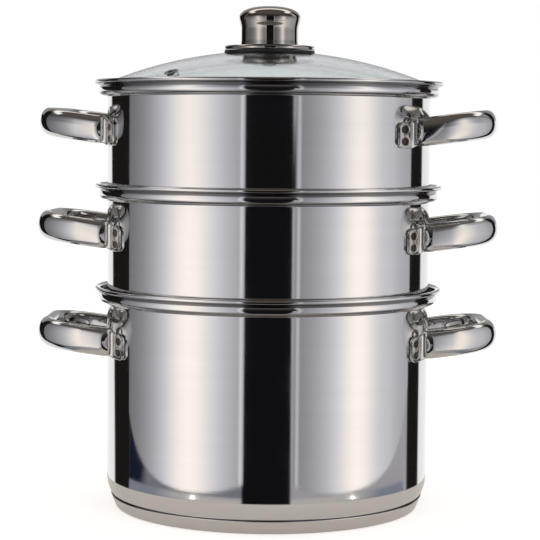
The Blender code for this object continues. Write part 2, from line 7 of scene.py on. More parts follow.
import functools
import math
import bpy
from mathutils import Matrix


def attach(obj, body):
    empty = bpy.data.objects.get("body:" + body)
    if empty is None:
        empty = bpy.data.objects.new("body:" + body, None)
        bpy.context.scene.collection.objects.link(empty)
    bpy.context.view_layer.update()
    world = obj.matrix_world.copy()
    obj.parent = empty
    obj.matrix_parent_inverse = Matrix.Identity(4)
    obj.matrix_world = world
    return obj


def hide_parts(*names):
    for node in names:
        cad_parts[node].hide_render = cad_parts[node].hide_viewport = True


bl_info = {
    "name": "Three-tier steamer set",
    "version": (1, 0, 0),
    "blender": (4, 5, 0),
    "location": "3D View > Sidebar > Steamer",
    "description": "Dresses the packed steamer set with turned steel, a glass lid and studio light",
    "category": "Object",
}

import bmesh
import bpy
from bpy.props import FloatProperty, FloatVectorProperty, IntProperty, PointerProperty
from mathutils import Matrix, Vector

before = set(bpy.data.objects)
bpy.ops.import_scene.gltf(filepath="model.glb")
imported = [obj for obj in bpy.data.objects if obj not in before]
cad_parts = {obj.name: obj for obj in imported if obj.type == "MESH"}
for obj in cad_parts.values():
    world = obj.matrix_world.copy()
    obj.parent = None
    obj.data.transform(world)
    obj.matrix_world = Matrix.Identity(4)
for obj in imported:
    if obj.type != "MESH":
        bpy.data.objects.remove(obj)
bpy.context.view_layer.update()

MM = 0.001
UP = math.pi / 2
DOWN = -math.pi / 2
INWARD = math.pi
OUTWARD = 0.0
CREASE = math.radians(32.0)
HANDLE_CREASE = math.radians(38.0)
MERGE_DISTANCE = 0.001 * MM


def length(name, description, millimetres):
    """Property that holds a length."""
    return FloatProperty(name=name, description=description, default=millimetres * MM,
                         min=0.0, unit="LENGTH", precision=5)


def turn(name, description, degrees):
    """Property that holds an angle."""
    return FloatProperty(name=name, description=description, default=math.radians(degrees),
                         unit="ROTATION")


def share(name, description, value):
    """Property that holds a share or a strength."""
    return FloatProperty(name=name, description=description, default=value, min=0.0, soft_max=2.0)


def count(name, description, value, least):
    """Property that holds a whole number."""
    return IntProperty(name=name, description=description, default=value, min=least)


def colour(name, description, value):
    """Property that holds a colour."""
    return FloatVectorProperty(name=name, description=description, default=value,
                               subtype="COLOR", size=3, min=0.0, max=1.0)


class VesselSizes(bpy.types.PropertyGroup):
    """Sizes that the pot and both inserts share."""
    body_radius: length("Body radius", "Outer radius of the straight walls", 100.6)
    sheet: length("Sheet", "Thickness of the drawn steel", 0.6)
    pot_lip_height: length("Pot lip height", "Height of the pot's lip over the table", 138.35)
    tier_rise: length("Tier rise", "Height that each insert adds", 63.85)
    lip_reach: length("Lip reach", "How far the lip stands out from the wall", 7.9)
    lip_thickness: length("Lip thickness", "Thickness of the rolled lip", 2.4)
    lip_flare: length("Lip flare", "Radius from the collar out to the top of the lip", 1.8)
    collar_step: length("Collar step", "How far the collar stands out from the wall", 5.4)
    collar_depth: length("Collar depth", "Depth of the collar under the top of the lip", 5.8)
    throat_turn: turn("Throat turn", "How far the shoulder turns in at the throat inside the rim", 44.0)
    swell_depth: length("Swell depth", "Depth of the collar's widest line under the lip's top", 6.2)
    swell_radius: length("Swell radius", "Radius of the collar above its widest line", 4.5)
    swell_turn: turn("Swell turn", "How far the collar turns in up to the groove under the lip", 40.0)
    edge_radius: length("Edge radius", "Radius of the collar under its widest line", 3.2)
    slope: turn("Slope", "How steeply the collar's underside leans in to the wall", 80.0)
    neck_fillet: length("Neck fillet", "Rounding between the collar and the wall", 0.9)
    shoulder_radius: length("Shoulder radius", "Radius of the shoulder under the collar", 3.2)
    ledge_flat: length("Ledge flat", "Flat part between the shoulder and the neck", 0.3)
    corner_radius: length("Corner radius", "Sweep at the bottom of the pot's wall", 22.0)
    corner_turn: turn("Corner turn", "Angle that the sweep turns before the knuckle", 32.0)
    knuckle_radius: length("Knuckle radius", "Tight bend at the pot's floor", 6.5)
    pot_floor: length("Pot floor", "Height of the underside of the pot's floor", 5.5)
    insert_depth: length("Insert depth", "How deep an insert hangs in the vessel below", 24.0)
    skirt_clearance: length("Skirt clearance", "Room round an insert's lower part", 0.8)
    step_run: length("Step run", "Height of the slope under an insert's seat", 1.2)
    insert_corner: length("Insert corner", "Radius at an insert's floor", 6.0)
    seat_gap: length("Seat gap", "Room between pieces that rest on each other", 0.3)
    sides: count("Sides", "Steps round a turned vessel", 288, 16)


class BaseSizes(bpy.types.PropertyGroup):
    """Sizes of the pressed dish under the pot."""
    sheet: length("Dish sheet", "Thickness of the dish", 0.6)
    seam_height: length("Seam height", "Height of the dish's upper edge", 8.2)
    foot_radius: length("Foot radius", "Radius of the dish at its lower edge", 95.3)
    edge_radius: length("Edge radius", "Rounding of the dish's lower edge", 2.2)
    edge_start: turn("Edge start", "Where the rounding leaves the side", -10.0)


class HoleSizes(bpy.types.PropertyGroup):
    """Sizes of the steam holes in an insert's floor."""
    radius: length("Hole radius", "Radius of a steam hole", 3.5)
    pitch: length("Ring pitch", "Distance from one ring of holes to the next", 26.0)
    rings: count("Rings", "Rings of holes round the middle one", 3, 0)
    sides: count("Hole sides", "Steps round a hole", 28, 3)


class HandleSizes(bpy.types.PropertyGroup):
    """Sizes of the tube handles and of the places where they hang."""
    reach: length("Reach", "From the vessel's wall to the outer side of the grip", 41.7)
    half_width: length("Half width", "Half the width of the tube", 5.75)
    half_height: length("Half height", "Half the height of the tube", 8.6)
    corner_radius: length("Corner radius", "Radius of the tube's outer corners", 24.0)
    tilt: turn("Tilt", "How steeply the handle rises outwards", 7.5)
    bend_radius: length("Root bend", "Radius of the bend at the wall", 5.0)
    root_rise: length("Root rise", "How far the tube starts above its pressed end", 2.3)
    full_width_run: length("Full width run", "Length past the bend to the tube's full width", 4.9)
    tab_thickness: length("Tab half thickness", "Half the thickness of the pressed end", 0.9)
    tab_height: length("Tab half height", "Half the height of the pressed end", 7.7)
    tab_outer: turn("Tab start", "Where the pressed end starts, from the handle's middle", 31.5)
    tab_inner: turn("Tab end", "Where the pressed end leaves the wall", 24.6)
    weld_radius: length("Weld radius", "Half the height of a spot weld's dimple", 2.3)
    weld_stretch: share("Weld stretch", "How much longer a spot weld's dimple is than it is high", 1.7)
    weld_depth: length("Weld depth", "Depth of a spot weld's dimple", 0.7)
    weld_rise: length("Weld rise", "Height of a spot weld above or below the tab's middle", 3.5)
    pot_drop: length("Pot handle drop", "Depth of the pot's handles under its lip", 34.4)
    insert_drop: length("Insert handle drop", "Depth of an insert's handles under its lip", 32.7)
    lower_turn: turn("Lower turn", "Turn of the lower insert", -3.0)
    upper_turn: turn("Upper turn", "Turn of the upper insert", -9.5)


class LidSizes(bpy.types.PropertyGroup):
    """Sizes of the glass, its band and the steam vent."""
    dome_radius: length("Dome radius", "Radius of the glass dome's upper face", 260.0)
    thickness: length("Glass thickness", "Thickness of the glass", 4.0)
    bore: length("Glass bore", "Radius of the bore for the screw", 3.4)
    band_clearance: length("Band clearance", "Room between the band and the collar", 0.9)
    band_sheet: length("Band sheet", "Thickness of the band", 0.5)
    band_top: length("Band top width", "How far the band folds over the glass", 3.2)
    band_bottom: length("Band bottom width", "How far the band folds under the glass", 4.2)
    vent_distance: length("Vent distance", "From the lid's axis to the steam vent", 89.8)
    vent_angle: turn("Vent angle", "Direction of the steam vent", -129.8)
    vent_radius: length("Vent radius", "Radius of the vent's bore in the glass", 3.4)
    eyelet_sheet: length("Eyelet sheet", "Thickness of the eyelet", 0.6)
    eyelet_flange: length("Eyelet flange", "Radius of the eyelet's rolled edges", 4.3)


class KnobSizes(bpy.types.PropertyGroup):
    """Sizes of the knob, its plate, its gasket and its screw."""
    gasket_radius: length("Gasket radius", "Radius of the soft washer on the glass", 28.2)
    gasket_thickness: length("Gasket thickness", "Thickness of the soft washer", 1.3)
    plate_radius: length("Plate radius", "Radius of the plate", 28.1)
    plate_edge: length("Plate edge", "Height of the plate's edge", 2.6)
    plate_round: length("Plate round", "Rounding of the plate's edge", 1.2)
    plate_under: length("Plate under", "Rounding of the plate's lower edge", 0.7)
    plate_crown: length("Plate crown", "How far the plate rises to the knob", 0.4)
    height: length("Knob height", "Height of the knob over its plate", 24.0)
    sheet: length("Knob sheet", "Thickness of the knob's cap", 0.8)
    head_radius: length("Head radius", "Radius of the knob's head", 19.1)
    crown_height: length("Crown height", "Height of the crown over the head's widest line", 7.6)
    crown_roundness: share("Crown roundness", "2 gives an oval crown, more gives a squarer one", 2.35)
    waist_end: length("Waist end", "Depth at which the head has narrowed to the neck", 15.0)
    ridge_depth: length("Ridge depth", "Depth of the fine step round the waist", 9.3)
    ridge_step: length("Ridge step", "Height of the fine step round the waist", 0.035)
    neck_radius: length("Neck radius", "Radius of the knob's neck", 17.85)
    foot_flare: length("Foot flare", "How far the foot stands out from the neck", 0.15)
    bore: length("Bore", "Radius of the bores for the screw", 2.5)
    screw_radius: length("Screw radius", "Radius of the screw", 2.0)
    screw_bite: length("Screw bite", "How far the screw reaches into the knob", 11.0)
    screw_head: length("Screw head radius", "Radius of the screw's head", 5.0)
    screw_head_height: length("Screw head height", "Height of the screw's head", 2.8)
    washer_radius: length("Washer radius", "Radius of the washer under the glass", 7.5)
    washer_thickness: length("Washer thickness", "Thickness of the washer", 1.0)


class FinishColours(bpy.types.PropertyGroup):
    """Colours and gloss of the materials."""
    wall_steel: colour("Wall steel", "Colour of the vessels", (0.715, 0.705, 0.700))
    bright_steel: colour("Bright steel", "Colour of the fittings and the base", (0.70, 0.69, 0.675))
    handle_steel: colour("Handle steel", "Colour of the handles", (0.61, 0.60, 0.585))
    knob_steel: colour("Knob steel", "Colour of the knob's smoked steel", (0.56, 0.52, 0.48))
    weld_tint: colour("Weld tint", "Heat colour in the spot welds", (0.06, 0.036, 0.022))
    # Underside: share of the wall colour kept in the painted shade under the rims, which face down; it also
    # sets the roughness added there.
    underside: share("Underside", "Share of the shine that the rims' unpolished underside keeps", 0.36)
    eyelet_steel: colour("Eyelet steel", "Colour of the steam vent's satin eyelet", (0.40, 0.415, 0.43))
    glass: colour("Glass", "Tint of the lid", (0.93, 0.965, 0.97))
    rubber: colour("Rubber", "Colour of the gasket", (0.018, 0.018, 0.019))
    plastic: colour("Plastic", "Colour of the knob's core", (0.03, 0.03, 0.03))
    aluminium: colour("Aluminium", "Colour of the base's core", (0.75, 0.75, 0.76))
    wall_gloss: share("Wall roughness", "Roughness of the polished walls", 0.042)
    bright_gloss: share("Fittings roughness", "Roughness of the handles and fittings", 0.07)
    pressed_dullness: share("Pressed dullness", "Roughness that pressing adds to a handle's ends", 0.13)


class StudioSettings(bpy.types.PropertyGroup):
    """Light panels, floor and camera of the studio."""
    panel_distance: length("Panel distance", "From the pot's axis to each light panel", 206.0)
    panel_turn: turn("Panel turn", "Direction of the panels from the camera's side", 42.9)
    panel_height: length("Panel height", "Height of the light panels", 365.0)
    panel_dim_from: length("Dimming from", "Height at which the panels start to dim", 290.0)
    panel_dim_to: length("Dimming to", "Height at which the panels are dim", 375.0)
    left_inner: length("Left inner part", "Width of the left panel towards the camera", 121.0)
    left_outer: length("Left outer part", "Width of the left panel away from the camera", 365.0)
    right_inner: length("Right inner part", "Width of the right panel towards the camera", 111.0)
    right_outer: length("Right outer part", "Width of the right panel away from the camera", 500.0)
    right_peak: length("Right peak", "Where the right panel is brightest", 29.5)
    left_width: length("Left glow width", "Distance at which the left glow falls to half", 71.0)
    left_glow: share("Left glow", "Brightness that the left panel's middle adds", 1.12)
    left_dim: share("Left dim light", "Brightness of the left panel's outer parts", 0.20)
    right_width: length("Right glow width", "Distance at which the right glow falls to half", 65.5)
    right_glow: share("Right glow", "Brightness that the right panel's middle adds", 1.22)
    right_dim: share("Right dim light", "Brightness of the right panel's outer parts", 0.10)
    right_fill: share("Right fill", "Light that the right panel's far part adds", 0.41)
    backdrop: share("Backdrop", "Brightness of the white backdrop", 1.05)
    fill: share("Fill", "Brightness of the even light on everything that isn't a mirror", 0.92)
    table_radius: length("Table radius", "Radius of the pale floor that the steel mirrors", 158.0)
    apron_radius: length("Apron radius", "Radius at which the mirrored floor turns dark", 200.0)
    glow_colour: colour("Glow colour", "Colour of the panels' bright parts", (1.0, 0.94, 0.885))
    dim_colour: colour("Dim colour", "Colour of the panels' dim parts", (0.925, 0.93, 1.0))
    floor_colour: colour("Floor colour", "Colour of the floor", (0.60, 0.555, 0.51))
    apron_front: colour("Apron front", "Colour in the steel of the floor's front ring", (0.74, 0.71, 0.69))
    apron_colour: colour("Apron sides", "Colour in the steel of the floor's side rings", (0.33, 0.36, 0.44))
    bounce: share("Bounce", "Light that the steel's own shine throws on the floor round the pot", 0.22)
    camera_distance: length("Camera distance", "Distance of the camera from the pot's axis", 1173.53)
    camera_height: length("Camera height", "Height of the camera over the floor", 235.41)
    camera_pitch: turn("Camera pitch", "How far the camera looks down", 4.255)
    camera_roll: turn("Camera roll", "How far the camera leans", 0.486)
    camera_yaw: turn("Camera yaw", "How far the camera looks to the right", 0.068)
    camera_lens: FloatProperty(name="Lens", description="Focal length in millimetres on a 36 mm frame",
                               default=124.7, min=1.0)


class SteamerSettings(bpy.types.PropertyGroup):
    """Everything that the panel shows."""
    vessel: PointerProperty(type=VesselSizes)
    base: PointerProperty(type=BaseSizes)
    holes: PointerProperty(type=HoleSizes)
    handle: PointerProperty(type=HandleSizes)
    lid: PointerProperty(type=LidSizes)
    knob: PointerProperty(type=KnobSizes)
    finish: PointerProperty(type=FinishColours)
    studio: PointerProperty(type=StudioSettings)


def settings():
    """The settings of this scene."""
    return bpy.context.scene.steamer_set


# Node trees


class NodeTree:
    """A node tree of a material, of the world or of a modifier that is written from Python."""

    def __init__(self, tree):
        self.tree = tree

    def node(self, kind, setup=None, values=None):
        """Add a node: its settings come first, then the values or links of its sockets."""
        made = self.tree.nodes.new(kind)
        for name, value in (setup or {}).items():
            if name == "stops":
                ramp = made.color_ramp
                while len(ramp.elements) < len(value):
                    ramp.elements.new(1.0)
                for element, (position, tone) in zip(ramp.elements, value):
                    element.position = position
                    element.color = (*tone, 1.0)
            else:
                setattr(made, name, value)
        self.fill(made, values or {})
        return made

    def fill(self, node, values):
        """Link sockets of a node, or set their values."""
        for name, value in values.items():
            socket = node.inputs[name]
            if isinstance(value, Number):
                self.tree.links.new(value.socket, socket)
            elif isinstance(value, bpy.types.NodeSocket):
                self.tree.links.new(value, socket)
            elif socket.type == "RGBA":
                socket.default_value = (*value, 1.0)
            else:
                socket.default_value = value

    def socket(self, kind, values=None, setup=None):
        """Add a node and take its first output."""
        return self.node(kind, setup, values).outputs[0]

    def number(self, kind, output, setup=None, values=None):
        """Add a node and take one of its outputs as a number."""
        return Number(self, self.node(kind, setup, values).outputs[output])

    def axes(self, vector):
        """X, Y and Z of a vector."""
        return [Number(self, part) for part in self.node("ShaderNodeSeparateXYZ", None, {0: vector}).outputs]

    def noise(self, vector, scale, detail=2.0, roughness=0.5):
        """Soft noise about 0.5. Three numbers as its scale stretch it along the axes."""
        if isinstance(scale, tuple):
            vector = self.socket("ShaderNodeVectorMath", {0: vector, 1: scale}, {"operation": "MULTIPLY"})
            scale = 1.0
        return self.number("ShaderNodeTexNoise", "Fac", None,
                           {"Vector": vector, "Scale": scale, "Detail": detail, "Roughness": roughness})

    def blend(self, factor, first, second):
        """Mix two colours."""
        made = self.node("ShaderNodeMix", {"data_type": "RGBA"}, {0: factor, 6: first, 7: second})
        return made.outputs[2]

    def bump(self, strength, distance, height):
        """Normal of a surface with small bumps."""
        return self.socket("ShaderNodeBump", {"Strength": strength, "Distance": distance, "Height": height})

    def ray(self, name):
        """What the light path says of a ray."""
        return self.number("ShaderNodeLightPath", name)

    def mirrored(self):
        """1 on rays that a mirror sends out, and 0 on all others."""
        return self.ray("Is Glossy Ray") * (1.0 - self.ray("Is Transmission Ray"))


class Number:
    """A number in a node tree. Python's operators on it add Math nodes."""

    def __init__(self, sheet, socket):
        self.sheet = sheet
        self.socket = socket

    def math(self, operation, *others):
        """Add a Math node on this number."""
        values = dict(enumerate((self, *others)))
        return self.sheet.number("ShaderNodeMath", 0, {"operation": operation}, values)

    def __add__(self, other):
        return self.math("ADD", other)

    __radd__ = __add__

    def __sub__(self, other):
        return self.math("SUBTRACT", other)

    def __rsub__(self, other):
        return self.math("MULTIPLY", -1.0) + other

    def __mul__(self, other):
        return self.math("MULTIPLY", other)

    __rmul__ = __mul__

    def __truediv__(self, other):
        return self.math("DIVIDE", other)

    def __rtruediv__(self, other):
        return self.sheet.number("ShaderNodeMath", 0, {"operation": "DIVIDE"}, {0: other, 1: self})

    def rise(self, start, end):
        """Smooth step from 0 at start to 1 at end."""
        return self.sheet.number("ShaderNodeMapRange", 0, {"interpolation_type": "SMOOTHSTEP"},
                                 {"Value": self, "From Min": start, "From Max": end})

    def window(self, start, end, soft):
        """1 between start and end, with soft edges."""
        return self.rise(start - soft, start + soft) * (1.0 - self.rise(end - soft, end + soft))


# Meshes


def arc(centre_r, centre_z, radius, start, end, steps):
    """Points of an arc in the (radius, height) plane, angles in radians from +radius."""
    points = []
    for step in range(steps + 1):
        angle = start + (end - start) * step / steps
        points.append((centre_r + radius * math.cos(angle), centre_z + radius * math.sin(angle)))
    return points


def top_corner(radius, height, rounding, steps):
    """Rounded corner at the top of an outer side."""
    return arc(radius - rounding, height - rounding, rounding, UP, OUTWARD, steps)


def bottom_corner(radius, height, rounding, steps):
    """Rounded corner at the bottom of an outer side."""
    return arc(radius - rounding, height + rounding, rounding, OUTWARD, DOWN, steps)


def blend(start, end, amount):
    """Value part of the way from start to end."""
    return start + (end - start) * amount


def smooth(value):
    """Ease from 0 to 1."""
    value = min(max(value, 0.0), 1.0)
    return value * value * (3 - 2 * value)


def lifted(outline, height):
    """An outline moved up."""
    return [(r, z + height) for r, z in outline]


def finish_mesh(mesh):
    """Merge doubles, point the faces outwards and shade smooth between creases."""
    shape = bmesh.new()
    shape.from_mesh(mesh)
    bmesh.ops.remove_doubles(shape, verts=shape.verts, dist=MERGE_DISTANCE)
    bmesh.ops.recalc_face_normals(shape, faces=shape.faces)
    shape.to_mesh(mesh)
    shape.free()
    mesh.shade_smooth()
    mesh.set_sharp_from_angle(angle=CREASE)


def link_piece(name, mesh, material):
    """Make an object of a mesh and give it its material."""
    mesh.name = name
    mesh.materials.clear()
    mesh.materials.append(material)
    piece = bpy.data.objects.new(name, mesh)
    bpy.context.collection.objects.link(piece)
    return piece


def add_piece(name, mesh, material, body, node):
    """Make a piece of the set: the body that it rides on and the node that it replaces."""
    piece = link_piece(name, mesh, material)
    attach(piece, body)
    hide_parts(node)


def dress_node(name, material):
    """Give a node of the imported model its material."""
    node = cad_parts[name]
    node.data.materials.clear()
    node.data.materials.append(material)


def lathe(outline, sides, place=None):
    """Mesh turned about Z from an outline of (radius, height) that runs down its outer side."""
    vertices = []
    rings = []
    for radius, height in outline:
        first = len(vertices)
        if radius <= 0.0:
            vertices.append((0.0, 0.0, height))
            rings.append([first] * sides)
            continue
        for side in range(sides):
            angle = math.tau * side / sides
            vertices.append((radius * math.cos(angle), radius * math.sin(angle), height))
        rings.append(list(range(first, first + sides)))
    if outline[0][0] > 0.0:
        rings.append(rings[0])
    faces = []
    for upper, lower in zip(rings, rings[1:]):
        for side in range(sides):
            after = (side + 1) % sides
            corners = [upper[side], lower[side], lower[after], upper[after]]
            faces.append(list(dict.fromkeys(corners)))
    mesh = bpy.data.meshes.new("turned")
    mesh.from_pydata(vertices, [], faces)
    if place is not None:
        mesh.transform(place)
    finish_mesh(mesh)
    return mesh


def evaluated_mesh(item):
    """Plain mesh of an object with its modifiers, which are then removed."""
    graph = bpy.context.evaluated_depsgraph_get()
    mesh = bpy.data.meshes.new_from_object(item.evaluated_get(graph))
    item.modifiers.clear()
    return mesh


def carve(mesh, cutter_mesh, material):
    """Cut one mesh out of another."""
    target = link_piece("carved", mesh, material)
    cutter = link_piece("cutter", cutter_mesh, material)
    boolean = target.modifiers.new("Carve", "BOOLEAN")
    boolean.operation = "DIFFERENCE"
    boolean.solver = "EXACT"
    boolean.object = cutter
    carved = evaluated_mesh(target)
    for item in (target, cutter):
        bpy.data.objects.remove(item, do_unlink=True)
    finish_mesh(carved)
    return carved


# Vessels

RING_GUARD = 0.001
PUNCH_SHEETS = 6


def neck_radius(v):
    """Radius of the bend between the wall and the ledge of the rim."""
    return v.collar_step - v.shoulder_radius - v.ledge_flat


def rim_depth(v):
    """Depth of the whole rim under the top of the lip."""
    return v.collar_depth + v.collar_step - v.ledge_flat


def skirt_radius(v):
    """Outer radius of the part of an insert that hangs in the vessel below."""
    return v.body_radius - v.sheet - v.skirt_clearance


def rim_outside(v):
    """Outer side of the rim, from the lip's inner flare down to the wall; lip top at height 0."""
    bead = v.lip_thickness / 2
    tip = v.body_radius + v.lip_reach - bead
    collar = v.body_radius + v.collar_step
    throat = collar - v.shoulder_radius + (v.shoulder_radius - v.sheet) * math.cos(v.throat_turn)
    edge = collar - v.edge_radius
    fillet = v.neck_fillet
    run = edge + v.edge_radius * math.cos(v.slope) - v.body_radius - fillet * (1 - math.cos(v.slope))
    drop = v.swell_depth + v.edge_radius * math.sin(v.slope) + run / math.tan(v.slope)
    points = arc(throat + v.lip_flare, -v.lip_flare, v.lip_flare, INWARD, UP, steps=8)
    points += arc(tip, -bead, bead, UP, DOWN, steps=14)
    points += arc(collar - v.swell_radius, -v.swell_depth, v.swell_radius, v.swell_turn, OUTWARD, steps=14)
    points += arc(edge, -v.swell_depth, v.edge_radius, OUTWARD, -v.slope, steps=10)[1:]
    points += arc(v.body_radius + fillet, -drop - fillet * math.sin(v.slope), fillet,
                  INWARD - v.slope, INWARD, steps=6)
    return points


def rim_inside(v):
    """Inner side of the rim, from the wall up to the collar."""
    shoulder = v.body_radius + v.collar_step - v.shoulder_radius
    neck = neck_radius(v)
    points = arc(v.body_radius + neck, -rim_depth(v), neck + v.sheet, INWARD, UP, steps=10)
    points += arc(shoulder, -v.collar_depth, v.shoulder_radius - v.sheet, DOWN, v.throat_turn, steps=14)
    return points


def knuckle_centre(v):
    """Centre of the tight bend at the pot's floor."""
    meet_r = v.body_radius - v.corner_radius * (1 - math.cos(v.corner_turn))
    return meet_r - v.knuckle_radius * math.cos(v.corner_turn), v.pot_floor + v.knuckle_radius


def pot_corner(v, offset):
    """Bottom corner of the pot, from the wall to the floor, moved inwards by offset."""
    knuckle_r, knuckle_z = knuckle_centre(v)
    sweep_r = v.body_radius - v.corner_radius
    sweep_z = knuckle_z + (v.corner_radius - v.knuckle_radius) * math.sin(v.corner_turn)
    points = arc(sweep_r, sweep_z, v.corner_radius - offset, OUTWARD, -v.corner_turn, steps=16)
    points += arc(knuckle_r, knuckle_z, v.knuckle_radius - offset, -v.corner_turn, DOWN, steps=10)[1:]
    return points


def insert_seat(v, offset):
    """Step where an insert sits on the shoulder of the vessel below, moved inwards by offset."""
    centre_r = v.body_radius + neck_radius(v)
    centre_z = -v.tier_rise - rim_depth(v)
    radius = neck_radius(v) + v.sheet + v.seat_gap + offset
    start = math.acos((v.body_radius - offset - centre_r) / radius)
    points = arc(centre_r, centre_z, radius, start, INWARD, steps=6)
    return points + [(skirt_radius(v) - offset, centre_z - v.step_run)]


class MakePot(bpy.types.Operator):
    """Turn the soup pot from one sheet: rim, wall, rounded corner and floor"""
    bl_idname = "steamer.make_pot"
    bl_label = "Pot"

    def execute(self, context):
        v = settings().vessel
        outline = [(0.0, v.pot_floor + v.sheet)]
        outline += pot_corner(v, v.sheet)[::-1]
        outline += lifted(rim_inside(v) + rim_outside(v), v.pot_lip_height)
        outline += pot_corner(v, 0.0)
        outline.append((0.0, v.pot_floor))
        add_piece("pot_vessel", lathe(outline, v.sides), wall_steel(), "pot", "pot_body")
        return {"FINISHED"}


class MakeBase(bpy.types.Operator):
    """Press the dish that closes the sandwich base, and finish the core inside it"""
    bl_idname = "steamer.make_base"
    bl_label = "Base"

    def execute(self, context):
        v = settings().vessel
        b = settings().base
        knuckle_r, knuckle_z = knuckle_centre(v)
        hug = v.knuckle_radius + v.seat_gap
        mouth = knuckle_r + math.sqrt(hug ** 2 - (knuckle_z - b.seam_height) ** 2)
        foot = b.foot_radius - b.edge_radius
        lip = b.sheet / 2
        outline = [(0.0, b.sheet)]
        outline += arc(foot, b.edge_radius, b.edge_radius - b.sheet, DOWN, b.edge_start, steps=8)
        outline += arc(mouth + lip, b.seam_height - lip, lip, INWARD, OUTWARD, steps=6)
        outline += arc(foot, b.edge_radius, b.edge_radius, b.edge_start, DOWN, steps=10)
        outline.append((0.0, 0.0))
        add_piece("base_dish", lathe(outline, v.sides), base_steel(), "pot", "base_cap")
        dress_node("base_core", core_aluminium())
        return {"FINISHED"}


def hole_punch():
    """Node group that punches rings of steam holes through a floor, six more holes in each ring."""
    group = bpy.data.node_groups.new("steam_holes", "GeometryNodeTree")
    for name, kind in (("Geometry", "Geometry"), ("Hole Radius", "Float"), ("Ring Pitch", "Float"),
                       ("Rings", "Int"), ("Hole Sides", "Int"), ("Floor Height", "Float"),
                       ("Punch Depth", "Float"), ("Material", "Material")):
        group.interface.new_socket(name, in_out="INPUT", socket_type="NodeSocket" + kind)
    group.interface.new_socket("Geometry", in_out="OUTPUT", socket_type="NodeSocketGeometry")
    sheet = NodeTree(group)
    given = sheet.node("NodeGroupInput").outputs
    rings = Number(sheet, given["Rings"])
    index = sheet.number("GeometryNodeInputIndex", 0)
    # Ring n ends with hole 3 n (n + 1), so a hole's ring is the root of that, rounded up. The guard
    # keeps the last hole of a ring in it.
    ring = (((index * 12.0 + 9.0).math("SQRT") - 3.0) / 6.0 - RING_GUARD).math("CEIL")
    step = index - 1.0 - ring * (ring - 1.0) * 3.0
    angle = step / (ring * 6.0).math("MAXIMUM", 1.0) * math.tau
    distance = ring * Number(sheet, given["Ring Pitch"])
    spot = sheet.socket("ShaderNodeCombineXYZ", {
        "X": distance * angle.math("COSINE"), "Y": distance * angle.math("SINE"),
        "Z": given["Floor Height"]})
    points = sheet.socket("GeometryNodePoints", {
        "Count": rings * (rings + 1.0) * 3.0 + 1.0, "Position": spot})
    peg = sheet.socket("GeometryNodeMeshCylinder", {
        "Vertices": given["Hole Sides"], "Radius": given["Hole Radius"], "Depth": given["Punch Depth"]})
    pegs = sheet.socket("GeometryNodeInstanceOnPoints", {"Points": points, "Instance": peg})
    punched = sheet.socket("GeometryNodeMeshBoolean", {"Mesh 1": given["Geometry"], "Mesh 2": pegs},
                           {"operation": "DIFFERENCE", "solver": "EXACT"})
    realised = sheet.socket("GeometryNodeRealizeInstances", {"Geometry": punched})
    painted = sheet.socket("GeometryNodeSetMaterial", {"Geometry": realised, "Material": given["Material"]})
    sheet.node("NodeGroupOutput", None, {"Geometry": painted})
    return group


def insert_mesh(v, holes, material):
    """Mesh of an insert whose lip top is at height 0, with its steam holes punched."""
    floor = -v.tier_rise - v.insert_depth
    corner_r = skirt_radius(v) - v.insert_corner
    corner_z = floor + v.insert_corner
    flat_end = corner_r - v.sheet
    outline = [(0.0, floor + v.sheet), (flat_end, floor + v.sheet)]
    outline += arc(corner_r, corner_z, v.insert_corner - v.sheet, DOWN, OUTWARD, steps=8)
    outline += insert_seat(v, v.sheet)[::-1]
    outline += rim_inside(v) + rim_outside(v)
    outline += insert_seat(v, 0.0)
    outline += arc(corner_r, corner_z, v.insert_corner, OUTWARD, DOWN, steps=8)
    outline += [(flat_end, floor), (0.0, floor)]
    blank = link_piece("insert_blank", lathe(outline, v.sides), material)
    punch = blank.modifiers.new("Steam holes", "NODES")
    punch.node_group = hole_punch()
    sizes = {"Hole Radius": holes.radius, "Ring Pitch": holes.pitch, "Rings": holes.rings,
             "Hole Sides": holes.sides, "Floor Height": floor + v.sheet / 2,
             "Punch Depth": PUNCH_SHEETS * v.sheet, "Material": material}
    for socket in punch.node_group.interface.items_tree:
        if socket.in_out == "INPUT" and socket.name in sizes:
            punch[socket.identifier] = sizes[socket.name]
    mesh = evaluated_mesh(blank)
    bpy.data.objects.remove(blank, do_unlink=True)
    finish_mesh(mesh)
    return mesh


class MakeInserts(bpy.types.Operator):
    """Turn both steamer inserts and punch the steam holes in their floors"""
    bl_idname = "steamer.make_inserts"
    bl_label = "Inserts"

    def execute(self, context):
        v = settings().vessel
        steel = wall_steel()
        pattern = insert_mesh(v, settings().holes, steel)
        for tier, body in enumerate(("lower_steamer", "upper_steamer"), start=1):
            mesh = pattern.copy()
            mesh.transform(Matrix.Translation((0.0, 0.0, v.pot_lip_height + tier * v.tier_rise)))
            add_piece(body + "_vessel", mesh, steel, body, body + "_body")
        bpy.data.meshes.remove(pattern)
        return {"FINISHED"}


# Handles

TAB_STEPS = 26
BEND_STEPS = 14
RUN_STEPS = 5
CORNER_STEPS = 24
TUBE_SIDES = 84
SECTION_SAMPLES = 40
TAB_END_SHARE = 0.45
TAB_END_LOSS = 0.55
BEND_GROWTH = 0.62
FLAT_POWER = 0.3
OVAL_POWER = 1.0
WELD_EDGE = 2.5
WELD_SLOPE = 2.0


def spoke(angle):
    """Unit vector away from a centre, and the heading of a path that turns clockwise round it."""
    return Vector((math.cos(angle), math.sin(angle))), Vector((math.sin(angle), -math.cos(angle)))


